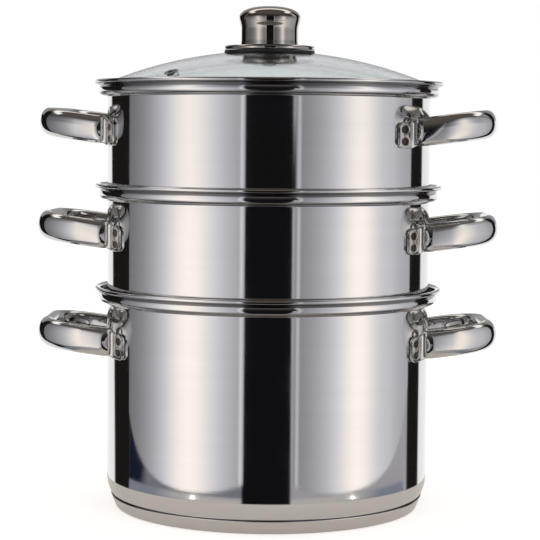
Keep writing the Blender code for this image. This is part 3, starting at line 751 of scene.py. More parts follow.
def handle_half_path(h, v):
    """Stations on half of a handle: point, heading, half width, half height, rise and run on the tab."""
    seat = v.body_radius + v.seat_gap + h.tab_thickness
    tab_length = (h.tab_outer - h.tab_inner) * seat
    stations = []
    for step in range(TAB_STEPS):
        amount = step / TAB_STEPS
        out, heading = spoke(blend(h.tab_outer, h.tab_inner, amount))
        taper = max(1 - amount / TAB_END_SHARE, 0.0)
        height = h.tab_height * math.sqrt(1 - TAB_END_LOSS * taper ** 3)
        stations.append((out * seat, heading, h.tab_thickness, height, 0.0, amount * tab_length))
    bend_centre = spoke(h.tab_inner)[0] * (seat + h.bend_radius)
    for step in range(BEND_STEPS + 1):
        amount = step / BEND_STEPS
        out, heading = spoke(blend(h.tab_inner, UP, amount))
        width = blend(h.tab_thickness, h.half_width, smooth(amount * BEND_GROWTH))
        height = blend(h.tab_height, h.half_height, smooth(amount))
        stations.append((bend_centre - out * h.bend_radius, heading, width, height, smooth(amount), 1.0))
    leg_y = bend_centre.y - h.bend_radius
    for step in range(1, RUN_STEPS + 1):
        amount = step / RUN_STEPS
        width = blend(h.tab_thickness, h.half_width, smooth(blend(BEND_GROWTH, 1.0, amount)))
        point = Vector((bend_centre.x + h.full_width_run * amount, leg_y))
        stations.append((point, Vector((1.0, 0.0)), width, h.half_height, 1.0, 1.0))
    grip_x = v.body_radius + h.reach - h.half_width
    corner_centre = Vector((grip_x - h.corner_radius, leg_y - h.corner_radius))
    for step in range(CORNER_STEPS + 1):
        out, heading = spoke(UP * (1 - step / CORNER_STEPS))
        point = corner_centre + out * h.corner_radius
        stations.append((point, heading, h.half_width, h.half_height, 1.0, 1.0))
    return stations


def even_section(width, height, power):
    """Points spaced evenly round a section that is square-cornered or oval by its power."""
    samples = SECTION_SAMPLES * TUBE_SIDES
    dense = []
    for step in range(samples + 1):
        angle = math.tau * step / samples
        across, up = (math.copysign(abs(part) ** power, part) for part in (math.cos(angle), math.sin(angle)))
        dense.append((across * width, up * height))
    walked = [0.0]
    for first, second in zip(dense, dense[1:]):
        walked.append(walked[-1] + math.dist(first, second))
    points = []
    at = 0
    for side in range(TUBE_SIDES):
        goal = walked[-1] * side / TUBE_SIDES
        while walked[at + 1] < goal:
            at += 1
        points.append(dense[at])
    return points


def handle_mesh(h, v):
    """Tube handle at height 0 that points along +X, with spot welds pressed into its flat ends."""
    sides = TUBE_SIDES
    tab_middle = (h.tab_outer - h.tab_inner) * v.body_radius / 2
    rings = []
    welds = []
    flats = []
    for point, heading, width, height, rise, run in handle_half_path(h, v):
        side = Vector((heading.y, -heading.x))
        roundness = (width - h.tab_thickness) / (h.half_width - h.tab_thickness)
        level = rise * (h.root_rise + math.tan(h.tilt) * max(point.x - v.body_radius, 0.0))
        ring = []
        weld_row = []
        for across, up in even_section(width, height, blend(FLAT_POWER, OVAL_POWER, roundness)):
            away = math.hypot((run - tab_middle) / h.weld_stretch, abs(up) - h.weld_rise)
            outside = rise == 0.0 and across < 0.0
            pit = smooth(WELD_EDGE - WELD_SLOPE * away / h.weld_radius) if outside else 0.0
            spot = point + side * (across + pit * h.weld_depth)
            ring.append((spot.x, spot.y, level + up))
            weld_row.append(pit)
        rings.append(ring)
        welds.append(weld_row)
        flats.append([1.0 - roundness] * sides)
    rings += [[(x, -y, z) for x, y, z in ring] for ring in reversed(rings)]
    faces = []
    for row in range(len(rings) - 1):
        low = row * sides
        high = low + sides
        for side in range(sides):
            after = (side + 1) % sides
            faces.append([low + side, high + side, high + after, low + after])
    faces.append(list(range(sides)))
    last = (len(rings) - 1) * sides
    faces.append([last + side for side in reversed(range(sides))])
    mesh = bpy.data.meshes.new("tube_handle")
    mesh.from_pydata([point for ring in rings for point in ring], [], faces)
    for name, rows in (("weld", welds), ("pressed", flats)):
        attribute = mesh.attributes.new(name, "FLOAT", "POINT")
        attribute.data.foreach_set("value", [value for row in rows + rows[::-1] for value in row])
    mesh.shade_smooth()
    mesh.set_sharp_from_angle(angle=HANDLE_CREASE)
    return mesh


class MakeHandles(bpy.types.Operator):
    """Loft the six tube handles and hang them on their vessels"""
    bl_idname = "steamer.make_handles"
    bl_label = "Handles"

    def execute(self, context):
        v = settings().vessel
        h = settings().handle
        steel = handle_steel()
        pattern = handle_mesh(h, v)
        places = (("pot", h.pot_drop, 0.0), ("lower_steamer", h.insert_drop, h.lower_turn),
                  ("upper_steamer", h.insert_drop, h.upper_turn))
        for tier, (body, drop, angle) in enumerate(places):
            place = Matrix.Translation((0.0, 0.0, v.pot_lip_height + tier * v.tier_rise - drop))
            for side, half_turn in (("right", 0.0), ("left", math.pi)):
                mesh = pattern.copy()
                mesh.transform(place @ Matrix.Rotation(angle + half_turn, 4, "Z"))
                add_piece(body + "_tube_" + side, mesh, steel,
                          body, body + "_handle_" + side)
        bpy.data.meshes.remove(pattern)
        return {"FINISHED"}


# Lid

DOME_STEPS = 48
VENT_SIDES = 48
VENT_REACH = 3
GLASS_EASE = 0.6 * MM
BAND_BEND = 0.7 * MM


def band_outer(v, lid):
    """Outer radius of the lid's band."""
    return v.body_radius + v.collar_step - v.sheet - lid.band_clearance


def band_seat(v, radius):
    """Height over the lip at which a point of the band rests on the shoulder inside the rim."""
    seat_radius = v.shoulder_radius - v.sheet - v.seat_gap
    across = min(radius - (v.body_radius + v.collar_step - v.shoulder_radius), seat_radius)
    return -v.collar_depth - math.sqrt(seat_radius ** 2 - across ** 2)


def glass_edge(v, lid):
    """Radius of the glass."""
    return band_outer(v, lid) - lid.band_sheet - v.seat_gap


def dome_centre(v, lid):
    """Height of the dome's centre over the lip that the lid sits in."""
    web = band_outer(v, lid) - lid.band_sheet
    lower_face = band_seat(v, web) + lid.band_sheet + v.seat_gap
    return lower_face - math.sqrt((lid.dome_radius - lid.thickness) ** 2 - glass_edge(v, lid) ** 2)


def dome(v, lid, radius, offset):
    """Height over the lip of a surface parallel to the glass dome."""
    return dome_centre(v, lid) + math.sqrt((lid.dome_radius + offset) ** 2 - radius ** 2)


def dome_line(v, lid, start, end, offset, steps):
    """Points along a surface parallel to the dome, between two radii."""
    radii = [blend(start, end, step / steps) for step in range(steps + 1)]
    return [(radius, dome(v, lid, radius, offset)) for radius in radii]


def lid_lip(v):
    """Height of the lip that the lid sits in."""
    return v.pot_lip_height + 2 * v.tier_rise


def vent_frame(v, lid):
    """Place of the steam vent on the dome's upper face, with Z along its normal."""
    out = spoke(lid.vent_angle)[0] * lid.vent_distance
    spot = Vector((out.x, out.y, dome(v, lid, lid.vent_distance, 0.0)))
    normal = spot - Vector((0.0, 0.0, dome_centre(v, lid)))
    lean = normal.to_track_quat("Z", "Y").to_matrix().to_4x4()
    return Matrix.Translation((0.0, 0.0, lid_lip(v))) @ Matrix.Translation(spot) @ lean


class MakeLid(bpy.types.Operator):
    """Make the glass dome, the steel band on its edge and the eyelet of the steam vent"""
    bl_idname = "steamer.make_lid"
    bl_label = "Lid"

    def execute(self, context):
        v = settings().vessel
        lid = settings().lid
        material = lid_glass_clear()
        edge = glass_edge(v, lid)
        outline = dome_line(v, lid, lid.bore, edge - GLASS_EASE, 0.0, DOME_STEPS)
        outline.append((edge, dome(v, lid, edge, -GLASS_EASE)))
        outline.append((edge, dome(v, lid, edge, GLASS_EASE - lid.thickness)))
        outline += dome_line(v, lid, edge - GLASS_EASE, lid.bore, -lid.thickness, DOME_STEPS)
        blank = lathe(lifted(outline, lid_lip(v)), v.sides)
        reach = VENT_REACH * lid.thickness
        pin = lathe([(0.0, reach), (lid.vent_radius, reach), (lid.vent_radius, -reach), (0.0, -reach)],
                    VENT_SIDES, vent_frame(v, lid))
        add_piece("glass_dome", carve(blank, pin, material), material, "lid", "lid_glass")
        add_piece("glass_band", self.band_mesh(v, lid), fitting_steel(),
                  "lid", "lid_rim_band")
        add_piece("steam_eyelet", self.eyelet_mesh(v, lid), eyelet_steel(),
                  "lid", "vent_eyelet")
        return {"FINISHED"}

    def band_mesh(self, v, lid):
        """Mesh of the band that is folded over the edge of the glass."""
        outer = band_outer(v, lid)
        web = outer - lid.band_sheet
        top_edge = glass_edge(v, lid) - lid.band_top
        bottom_edge = glass_edge(v, lid) - lid.band_bottom
        underside = band_seat(v, web)
        floor = underside + lid.band_sheet
        over = v.seat_gap + lid.band_sheet
        bend = outer - BAND_BEND
        outline = [(top_edge, dome(v, lid, top_edge, over))]
        outline += arc(bend, dome(v, lid, bend, over) - BAND_BEND, BAND_BEND, UP, OUTWARD, steps=6)
        outline += [(outer, band_seat(v, outer)), (web, underside), (bottom_edge, underside),
                    (bottom_edge, floor), (web, floor), (web, dome(v, lid, web, v.seat_gap)),
                    (top_edge, dome(v, lid, top_edge, v.seat_gap))]
        return lathe(lifted(outline, lid_lip(v)), v.sides)

    def eyelet_mesh(self, v, lid):
        """Mesh of the eyelet that is rolled over both faces of the glass."""
        tube = lid.vent_radius - v.seat_gap
        half = lid.eyelet_sheet / 2
        rolled = tube - half
        flange = lid.eyelet_flange - half
        top = v.seat_gap + half
        bottom = -lid.thickness - v.seat_gap - half
        outline = arc(rolled, top, half, INWARD, UP, steps=4)
        outline += arc(flange, top, half, UP, DOWN, steps=8)
        outline += [(tube, top - half), (tube, bottom + half)]
        outline += arc(flange, bottom, half, UP, DOWN, steps=8)
        outline += arc(rolled, bottom, half, DOWN, -INWARD, steps=4)
        return lathe(outline, VENT_SIDES, vent_frame(v, lid))


# Knob

KNOB_SIDES = 128
CROWN_STEPS = 32
SIDE_STEPS = 100
SEAT_STEPS = 8
RIDGE_HEIGHT = 0.5 * MM
FOOT_START = 0.88
WASHER_SIDES = 64
WASHER_EASE = 0.2 * MM
SCREW_SIDES = 48
HEAD_ANGLES = (0.35, 0.6, 0.85, 1.1, 1.35)
HEAD_SPREAD = 0.6
HEAD_SAG = 0.8
CROSS_LONG = 2.2 * MM
CROSS_NARROW = 0.5 * MM
CROSS_DEPTH = 1.3 * MM


def plate_top(v, lid, k):
    """Height over the lip of the top of the plate's edge."""
    return dome(v, lid, k.plate_radius, 2 * v.seat_gap + k.gasket_thickness) + k.plate_edge


def knob_foot(v, lid, k):
    """Height over the lip of the knob's foot."""
    return plate_top(v, lid, k) + k.plate_crown + v.seat_gap


def washer_top(v, lid):
    """Height over the lip of the washer's upper face."""
    return dome(v, lid, 0.0, -lid.thickness) - v.seat_gap


def knob_skin(v, lid, k, offset):
    """Outer form of the knob from the middle of its crown to its foot, moved inwards by offset."""
    top = knob_foot(v, lid, k) + k.height
    crown_r = k.head_radius - offset
    crown_z = k.crown_height - offset
    power = 2 / k.crown_roundness
    points = []
    for step in range(CROWN_STEPS + 1):
        angle = UP * (1 - step / CROWN_STEPS)
        radius = crown_r * abs(math.cos(angle)) ** power if step else 0.0
        points.append((radius, top - k.crown_height + crown_z * math.sin(angle) ** power))
    waist = k.head_radius - k.neck_radius - k.ridge_step
    foot = FOOT_START * k.height
    for step in range(1, SIDE_STEPS + 1):
        depth = blend(k.crown_height, k.height, step / SIDE_STEPS)
        inner = waist * smooth((depth - k.crown_height) / (k.waist_end - k.crown_height))
        inner += k.ridge_step * smooth((depth - k.ridge_depth) / RIDGE_HEIGHT)
        flare = k.foot_flare * smooth((depth - foot) / (k.height - foot))
        points.append((k.head_radius - inner + flare - offset, top - depth))
    return points


class MakeKnob(bpy.types.Operator):
    """Make the knob, its plate and the gasket under it, and finish the core inside it"""
    bl_idname = "steamer.make_knob"
    bl_label = "Knob"

    def execute(self, context):
        v = settings().vessel
        lid = settings().lid
        k = settings().knob
        over = v.seat_gap + k.gasket_thickness
        rubber = dome_line(v, lid, k.bore, k.gasket_radius, over, SEAT_STEPS)
        rubber += dome_line(v, lid, k.gasket_radius, k.bore, v.seat_gap, SEAT_STEPS)
        self.turned("knob_washer_soft", rubber, gasket_rubber(), "knob_gasket", "black_rubber")

        top = plate_top(v, lid, k)
        foot = dome(v, lid, k.plate_radius, over + v.seat_gap)
        plate = [(k.bore, top + k.plate_crown), (k.neck_radius, top + k.plate_crown)]
        plate += top_corner(k.plate_radius, top, k.plate_round, steps=10)
        plate += bottom_corner(k.plate_radius, foot, k.plate_under, steps=6)
        plate += dome_line(v, lid, k.plate_radius - 2 * k.plate_under, k.bore, over + v.seat_gap, SEAT_STEPS)
        self.turned("knob_plate", plate, knob_steel(), "knob_base_plate", "bright_steel")

        skin = knob_skin(v, lid, k, 0.0) + knob_skin(v, lid, k, k.sheet)[::-1]
        self.turned("knob_cap", skin, knob_steel(), "knob_shell", "smoked_steel")
        dress_node("knob_core", core_plastic())
        return {"FINISHED"}

    def turned(self, name, outline, material, node, slot):
        """Turn a piece of the knob from an outline whose heights count from the lip."""
        mesh = lathe(lifted(outline, lid_lip(settings().vessel)), KNOB_SIDES)
        add_piece(name, mesh, material, "lid", node)


class MakeScrew(bpy.types.Operator):
    """Make the screw that holds the knob and the washer under the glass"""
    bl_idname = "steamer.make_screw"
    bl_label = "Screw"

    def execute(self, context):
        v = settings().vessel
        lid = settings().lid
        k = settings().knob
        steel = fitting_steel()
        top = washer_top(v, lid)
        bottom = top - k.washer_thickness
        outline = [(k.bore, top)]
        outline += top_corner(k.washer_radius, top, WASHER_EASE, steps=3)
        outline += bottom_corner(k.washer_radius, bottom, WASHER_EASE, steps=3)
        outline.append((k.bore, bottom))
        add_piece("knob_washer_steel", lathe(lifted(outline, lid_lip(v)), WASHER_SIDES), steel,
                  "lid", "screw_washer")
        add_piece("knob_screw", self.screw_mesh(v, lid, k, steel), steel,
                  "lid", "lid_screw")
        return {"FINISHED"}

    def screw_mesh(self, v, lid, k, steel):
        """Mesh of the pan-head screw, with a cross recess in its head."""
        tip = knob_foot(v, lid, k) + k.screw_bite
        under = washer_top(v, lid) - k.washer_thickness - v.seat_gap
        face = under - k.screw_head_height
        outline = [(0.0, tip), (k.screw_radius / 2, tip), (k.screw_radius, tip - k.screw_radius / 2),
                   (k.screw_radius, under), (k.screw_head, under)]
        outline += [(k.screw_head * math.cos(angle) ** HEAD_SPREAD,
                     under - k.screw_head_height * math.sin(angle) ** HEAD_SAG) for angle in HEAD_ANGLES]
        outline.append((0.0, face))
        cross = bmesh.new()
        for wide, deep in ((CROSS_LONG, CROSS_NARROW), (CROSS_NARROW, CROSS_LONG)):
            made = bmesh.ops.create_cube(cross, size=2.0)["verts"]
            bmesh.ops.scale(cross, vec=(wide, deep, CROSS_DEPTH), verts=made)
        bmesh.ops.translate(cross, vec=(0.0, 0.0, lid_lip(v) + face), verts=cross.verts)
        cutter = bpy.data.meshes.new("cross_recess")
        cross.to_mesh(cutter)
        cross.free()
        return carve(lathe(lifted(outline, lid_lip(v)), SCREW_SIDES), cutter, steel)


# Finishes

TURNING_LINES = (14.0, 14.0, 2200.0)
BROAD_LINES = (9.0, 9.0, 160.0)
HAIRLINES = (1900.0, 1900.0, 45.0)
FLOW_MARKS = (60.0, 60.0, 260.0)
ROLLING_LINES = (8.0, 700.0, 700.0)
SMEARS = (30.0, 30.0, 30.0)
RIM_HEIGHTS = (80.0 * MM, 100.0 * MM)
LINE_DEPTH = 0.04 * MM
GRAIN_DEPTH = 0.05 * MM
GLASS_BENDING = 1.52

# Polished steel: where each trace of use, and the painted shade under the rims, sets in, and how strongly it
# counts
HAIRS_SET_IN = (0.66, 0.74)
PATCHES_SET_IN = (0.5, 0.7)
SMUDGES_SET_IN = (0.42, 0.75)
UNDERSIDE_SHADE_SETS_IN = (0.2, 0.65)
BROAD_DRIFT = 0.30
CLOUDY_DRIFT = 0.18
BROAD_DEPTH = 0.6
DARKER = 0.86
LINE_WEAR = 0.3
UNDERSIDE_WEAR = 0.2

# Second tones of the other materials
DUSTY_RUBBER = (0.045, 0.044, 0.043)
SCUFFED_PLASTIC = (0.045, 0.045, 0.046)
DARKER_HANDLE = 0.92
DARKER_GLASS = 0.985
DARKER_ALUMINIUM = 0.85


def shared(build):
    """Let a function build the material of its name on first use, and find it after that."""
    @functools.wraps(build)
    def material():
        return bpy.data.materials.get(build.__name__) or build(build.__name__, settings().finish)
    return material


def scaled(tone, amount):
    """A colour made darker or lighter."""
    return tuple(part * amount for part in tone)


def new_material(name):
    """Empty material and its tree, shader and object coordinates."""
    material = bpy.data.materials.new(name)
    material.use_nodes = True
    sheet = NodeTree(material.node_tree)
    shader = material.node_tree.nodes["Principled BSDF"]
    return material, sheet, shader, sheet.node("ShaderNodeTexCoord").outputs["Object"]


def steel_surface(name, tone, gloss, lines, smudges=0.03, marks=0.02, underside=1.0):
    """Polished steel: turning lines, soft smudges, hairline marks and a rougher underside with painted
    shade.
    """
    material, sheet, shader, place = new_material(name)
    brushed = sheet.noise(place, TURNING_LINES, 3.0, 0.6)
    broad = sheet.noise(place, BROAD_LINES)
    cloudy = sheet.noise(place, 34.0, 3.0, 0.55)
    hairs = sheet.noise(place, HAIRLINES, 1.0).rise(*HAIRS_SET_IN)
    patchy = sheet.noise(place, 90.0, 1.0).rise(*PATCHES_SET_IN)
    drift = (broad - 0.5) * BROAD_DRIFT + (cloudy - 0.5) * CLOUDY_DRIFT
    darker = scaled(tone, DARKER)
    shade = sheet.blend((0.5 + drift).rise(0.0, 1.0), darker, tone)
    facing = sheet.axes(sheet.node("ShaderNodeNewGeometry").outputs["Normal"])[2]
    height = sheet.axes(place)[2]
    # Painted shade: the colour darkens where the surface faces down above the rim heights, so the rims'
    # undersides read as shaded; the same mask also adds roughness there.
    below = (facing * -1.0).rise(*UNDERSIDE_SHADE_SETS_IN) * height.rise(*RIM_HEIGHTS)
    wear = hairs * patchy * marks + below * (1.0 - underside) * UNDERSIDE_WEAR
    smudged = cloudy.rise(*SMUDGES_SET_IN) * smudges
    sheet.fill(shader, {
        "Base Color": sheet.blend(below, shade, scaled(darker, underside)), "Metallic": 1.0,
        "Roughness": smudged + brushed * lines * LINE_WEAR + wear + gloss,
        "Normal": sheet.bump(lines, LINE_DEPTH, brushed + broad * BROAD_DEPTH)})
    return material


@shared
def wall_steel(name, f):
    """Polished steel of the pot and the inserts."""
    # The underside share sets how much colour stays in the painted shade under the rims.
    return steel_surface(name, f.wall_steel, f.wall_gloss, lines=0.10, underside=f.underside)


@shared
def base_steel(name, f):
    """Steel of the base's dish, with upright rubbing marks."""
    return steel_surface(name, f.bright_steel, gloss=0.13, lines=0.15, smudges=0.08, marks=0.25)


@shared
def fitting_steel(name, f):
    """Steel of the band, the washer and the screw."""
    return steel_surface(name, f.bright_steel, f.bright_gloss, lines=0.12)


@shared
def eyelet_steel(name, f):
    """Satin steel of the steam vent's eyelet."""
    return steel_surface(name, f.eyelet_steel, gloss=0.42, lines=0.10)


@shared
def knob_steel(name, f):
    """Smoked mirror steel of the knob and its plate."""
    return steel_surface(name, f.knob_steel, gloss=0.045, lines=0.05, smudges=0.02)


@shared
def handle_steel(name, f):
    """Bright steel, duller where the tube is pressed flat and brown in the spot welds."""
    material, sheet, shader, place = new_material(name)
    cloudy = sheet.noise(place, 60.0, 3.0, 0.55)
    fine = sheet.noise(place, 900.0)
    weld, pressed = (sheet.number("ShaderNodeAttribute", "Fac", {"attribute_name": label})
                     for label in ("weld", "pressed"))
    burnt = weld.rise(0.2, 0.8) * (cloudy * 0.5 + 0.75)
    shade = sheet.blend(cloudy.rise(0.3, 0.7), scaled(f.handle_steel, DARKER_HANDLE), f.handle_steel)
    dullness = cloudy.rise(0.4, 0.8) * 0.05 + burnt * 0.1 + pressed.rise(0.1, 0.8) * f.pressed_dullness
    sheet.fill(shader, {
        "Base Color": sheet.blend(burnt.math("MINIMUM", 1.0), shade, f.weld_tint), "Metallic": 1.0,
        "Roughness": dullness + f.bright_gloss, "Normal": sheet.bump(0.05, GRAIN_DEPTH, fine)})
    return material


@shared
def lid_glass_clear(name, f):
    """Clear tempered glass with a pale green tint, very slightly uneven."""
    material, sheet, shader, place = new_material(name)
    smear = sheet.noise(place, SMEARS, 3.0).rise(0.55, 0.85)
    sheet.fill(shader, {"Base Color": sheet.blend(smear, f.glass, scaled(f.glass, DARKER_GLASS)),
                        "Roughness": 0.0, "Transmission Weight": 1.0, "IOR": GLASS_BENDING})
    return material


@shared
def gasket_rubber(name, f):
    """Matt black rubber, slightly greyer where dust clings."""
    material, sheet, shader, place = new_material(name)
    dust = sheet.noise(place, 220.0, 4.0, 0.6).rise(0.45, 0.8)
    sheet.fill(shader, {"Base Color": sheet.blend(dust, f.rubber, DUSTY_RUBBER),
                        "Roughness": dust * 0.2 + 0.45,
                        "Normal": sheet.bump(0.2, GRAIN_DEPTH, sheet.noise(place, 2500.0))})
    return material


@shared
def core_plastic(name, f):
    """Moulded black plastic inside the knob, with fine flow marks."""
    material, sheet, shader, place = new_material(name)
    flow = sheet.noise(place, FLOW_MARKS, 3.0)
    sheet.fill(shader, {"Base Color": sheet.blend(flow, f.plastic, SCUFFED_PLASTIC),
                        "Roughness": flow * 0.15 + 0.32})
    return material


@shared
def core_aluminium(name, f):
    """Aluminium inside the base, with rolling lines along X."""
    material, sheet, shader, place = new_material(name)
    rolled = sheet.noise(place, ROLLING_LINES, 3.0)
    darker = scaled(f.aluminium, DARKER_ALUMINIUM)
    sheet.fill(shader, {"Base Color": sheet.blend(rolled, darker, f.aluminium), "Metallic": 1.0,
                        "Roughness": rolled * 0.2 + 0.28})
    return material


# Stage

WHITE = (1.0, 1.0, 1.0)
WARM = (1.0, 0.95, 0.90)
RIGHT_SOFT = 10.0 * MM

# Floor: what the steel mirrors of it is a table, a ring of apron round it and a dark lane
FLOOR_HALF = 3.0
FLOOR_DROP = 0.1 * MM
PALER_FLOOR = 1.04
CAMERA_GLOW = 0.62
TABLE_SOFT = 4.0 * MM
APRON_SOFT = 2.0 * MM
APRON_BLEND = (-140.0 * MM, -70.0 * MM)
LANE_LEAN = 0.30
LANE_SHIFT = 15.0 * MM
LANE_COLOUR = (0.008, 0.008, 0.010)
EDGE_SOFT = 3.0 * MM
OUTER_BLEND = (-70.0 * MM, -35.0 * MM)
OUTER_LEFT_FRONT = (0.27, 0.28, 0.33)
OUTER_LEFT = (0.013, 0.017, 0.038)
OUTER_RIGHT = (0.55, 0.53, 0.56)
OPEN_LEAN = 0.42
OPEN_SHIFT = 88.0 * MM
GLEAM_SIDE = 118.0 * MM
GLEAM_FRONT = 147.0 * MM
GLEAM_SIDE_SHIFT = 18.0 * MM
GLEAM_FRONT_SHIFT = 19.0 * MM
GLEAM_REACH = (115.0 * MM, 125.0 * MM)
GLEAM_CORE = (2.0 * MM, 6.0 * MM)
GLEAM_HALO = (3.0 * MM, 18.0 * MM)
CORE_GLOW, HALO_GLOW = 8.0, 0.5

# Light panels: heights, places along a panel and levels of light
NARROW_FROM, NARROW_TO, NARROW_BY = 250.0 * MM, 275.0 * MM, 0.45
FILL_FROM, FILL_TO = 30.0 * MM, 170.0 * MM
WEAKER_FROM, WEAKER_TO, WEAKER_BY = 150.0 * MM, 240.0 * MM, 0.09
TOP_DIMMING = 0.7
BORDER_START, BORDER_END, BORDER_SOFT = 4.0 * MM, 12.0 * MM, 3.0 * MM
BORDER_GLOW = 0.36
WARM_LEVELS = (0.8, 1.4)

# World: directions in degrees from the camera's side, and heights as shares of a right angle
DEGREES = 180.0 / math.pi
RIGHT_ANGLE = 90.0
FRONT_STOPS = ((0.0, (0.008, 0.008, 0.008)), (0.20, (0.03, 0.028, 0.028)),
               (0.45, (0.10, 0.09, 0.085)), (1.0, (0.16, 0.13, 0.11)))
BACK_STOPS = ((0.0, WHITE), (0.045, WHITE), (0.07, (0.36, 0.36, 0.37)), (0.20, (0.38, 0.38, 0.39)),
              (0.46, (0.20, 0.19, 0.18)), (0.53, (1.50, 1.45, 1.40)), (0.61, (1.50, 1.45, 1.40)),
              (0.67, (0.12, 0.10, 0.09)))
LEFT_FLANK = (0.11, 0.11, 0.12)
RIGHT_FLANK = (0.45, 0.44, 0.47)
FLANK_BLEND = (92.0, 100.0)
FLAG_COLOUR = (0.013, 0.011, 0.011)
FLAG_START, FLAG_START_RIGHT, FLAG_START_SOFT = 114.0, 5.5, 1.0
FLAG_END, FLAG_END_LOW, FLAG_END_SOFT = 139.5, 149.5, 1.5
FLAG_LEAN, FLAG_LEAN_TOP = 0.95, 8.0
FLAG_TALL = (7.0, 14.0)
TOP_BLEND = (35.0, 45.0)
BEHIND_BLEND = (88.0, 92.0)

SENSOR_WIDTH = 36.0
NEAREST = 0.05
FARTHEST = 20.0


class MakeStage(bpy.types.Operator):
    """Set up the floor, the studio light and the camera"""
    bl_idname = "steamer.make_stage"
    bl_label = "Stage"

    def execute(self, context):
        studio = settings().studio
        self.floor(studio)
        self.panel(studio, "studio_panel_left", -1.0, (studio.left_inner, studio.left_outer),
                   (0.0, studio.left_width, studio.left_glow, studio.left_dim, 0.0))
        self.panel(studio, "studio_panel_right", 1.0, (studio.right_inner, studio.right_outer),
                   (studio.right_peak, studio.right_width, studio.right_glow, studio.right_dim,
                    studio.right_fill))
        self.light(studio)
        self.camera(studio)
        context.scene.view_settings.view_transform = "Standard"
        return {"FINISHED"}

    def bare_material(self, name):
        """Material without a shader, its tree and its object coordinates."""
        material, sheet, shader, place = new_material(name)
        material.cycles.emission_sampling = "NONE"
        material.node_tree.nodes.remove(shader)
        return material, sheet, place

    def stage_piece(self, name, mesh, material, sheet, factor, first, second):
        """Piece of the stage whose surface mixes two shaders."""
        mixed = sheet.socket("ShaderNodeMixShader", {0: factor, 1: first, 2: second})
        sheet.fill(material.node_tree.nodes["Material Output"], {"Surface": mixed})
        link_piece(name, mesh, material)

    def floor(self, studio):
        """Pale floor that shows white to the camera, keeps the set's shadow and ends in the steel."""
        mesh = bpy.data.meshes.new("studio_floor")
        corners = ((-1, -1), (1, -1), (1, 1), (-1, 1))
        mesh.from_pydata([(x * FLOOR_HALF, y * FLOOR_HALF, -FLOOR_DROP) for x, y in corners], [],
                         [(0, 1, 2, 3)])
        material, sheet, place = self.bare_material("studio_floor")
        x, y = sheet.axes(place)[:2]
        away = sheet.number("ShaderNodeVectorMath", "Value", {"operation": "LENGTH"}, {0: place})
        wide = x.math("ABSOLUTE")
        right = x.rise(-RIGHT_SOFT, RIGHT_SOFT)
        plain = sheet.blend(sheet.noise(place, 40.0, 3.0), studio.floor_colour,
                            scaled(studio.floor_colour, PALER_FLOOR))
        lane = (wide + y * LANE_LEAN + LANE_SHIFT).rise(-EDGE_SOFT, EDGE_SOFT)
        apron = sheet.blend(y.rise(*APRON_BLEND), studio.apron_front, studio.apron_colour)
        rim = away.rise(studio.table_radius - TABLE_SOFT, studio.table_radius + TABLE_SOFT)
        ring = sheet.blend(rim, plain, sheet.blend(lane, LANE_COLOUR, apron))
        left = sheet.blend(y.rise(*OUTER_BLEND), OUTER_LEFT_FRONT, OUTER_LEFT)
        outer = sheet.blend(lane, LANE_COLOUR, sheet.blend(right, left, OUTER_RIGHT))
        past = away.rise(studio.apron_radius - APRON_SOFT, studio.apron_radius + APRON_SOFT)
        mirror = sheet.mirrored()
        paint = sheet.socket("ShaderNodeBsdfDiffuse",
                             {"Color": sheet.blend(mirror, plain, sheet.blend(past, ring, outer))})
        beside = wide - right * GLEAM_SIDE_SHIFT - GLEAM_SIDE
        before = y - right * GLEAM_FRONT_SHIFT + GLEAM_FRONT
        from_gleam = (beside * beside + before * before).math("SQRT")
        close = 1.0 - sheet.ray("Ray Length").rise(*GLEAM_REACH)
        gleam = (1.0 - from_gleam.rise(*GLEAM_CORE)) * CORE_GLOW
        gleam += (1.0 - from_gleam.rise(*GLEAM_HALO)) * HALO_GLOW
        bounce = (1.0 - rim) * studio.bounce
        glow = sheet.socket("ShaderNodeEmission", {
            "Color": sheet.blend(mirror, WHITE, WARM),
            "Strength": sheet.ray("Is Camera Ray") * CAMERA_GLOW + mirror * (gleam * close + bounce)})
        lit = sheet.socket("ShaderNodeAddShader", {0: paint, 1: glow})
        behind = (y - wide * OPEN_LEAN + OPEN_SHIFT).rise(-EDGE_SOFT, EDGE_SOFT)
        self.stage_piece("studio_floor", mesh, material, sheet, mirror * rim * behind,
                         lit, sheet.socket("ShaderNodeBsdfTransparent"))

    def panel(self, studio, name, side, widths, light):
        """Upright light panel that only mirrors show; its glow fades away from its brightest place."""
        inner, outer = widths
        peak, width, strength, dim, fill = light
        facing = Vector((side * math.sin(studio.panel_turn), -math.cos(studio.panel_turn), 0.0))
        run = Vector((side * math.cos(studio.panel_turn), math.sin(studio.panel_turn), 0.0))
        foot = facing * studio.panel_distance
        near = foot - run * inner
        far = foot + run * outer
        lift = Vector((0.0, 0.0, studio.panel_height))
        mesh = bpy.data.meshes.new(name)
        mesh.from_pydata([near, far, far + lift, near + lift], [], [(0, 1, 2, 3)])
        material, sheet, place = self.bare_material(name)
        along = sheet.number("ShaderNodeVectorMath", "Value", {"operation": "DOT_PRODUCT"},
                             {0: place, 1: tuple(run)})
        height = sheet.axes(place)[2]
        across = (along - peak) / ((1.0 - height.rise(NARROW_FROM, NARROW_TO) * NARROW_BY) * width)
        level = strength / (across * across + 1.0) + along.rise(FILL_FROM, FILL_TO) * fill + dim
        level = level * (1.0 + WEAKER_BY - height.rise(WEAKER_FROM, WEAKER_TO) * WEAKER_BY)
        level = level * (1.0 - height.rise(studio.panel_dim_from, studio.panel_dim_to) * TOP_DIMMING)
        level = level + along.window(BORDER_START - inner, BORDER_END - inner, BORDER_SOFT) * BORDER_GLOW
        tone = sheet.blend(level.rise(*WARM_LEVELS), studio.dim_colour, studio.glow_colour)
        glow = sheet.socket("ShaderNodeEmission", {"Color": tone, "Strength": level})
        self.stage_piece(name, mesh, material, sheet, sheet.mirrored(),
                         sheet.socket("ShaderNodeBsdfTransparent"), glow)

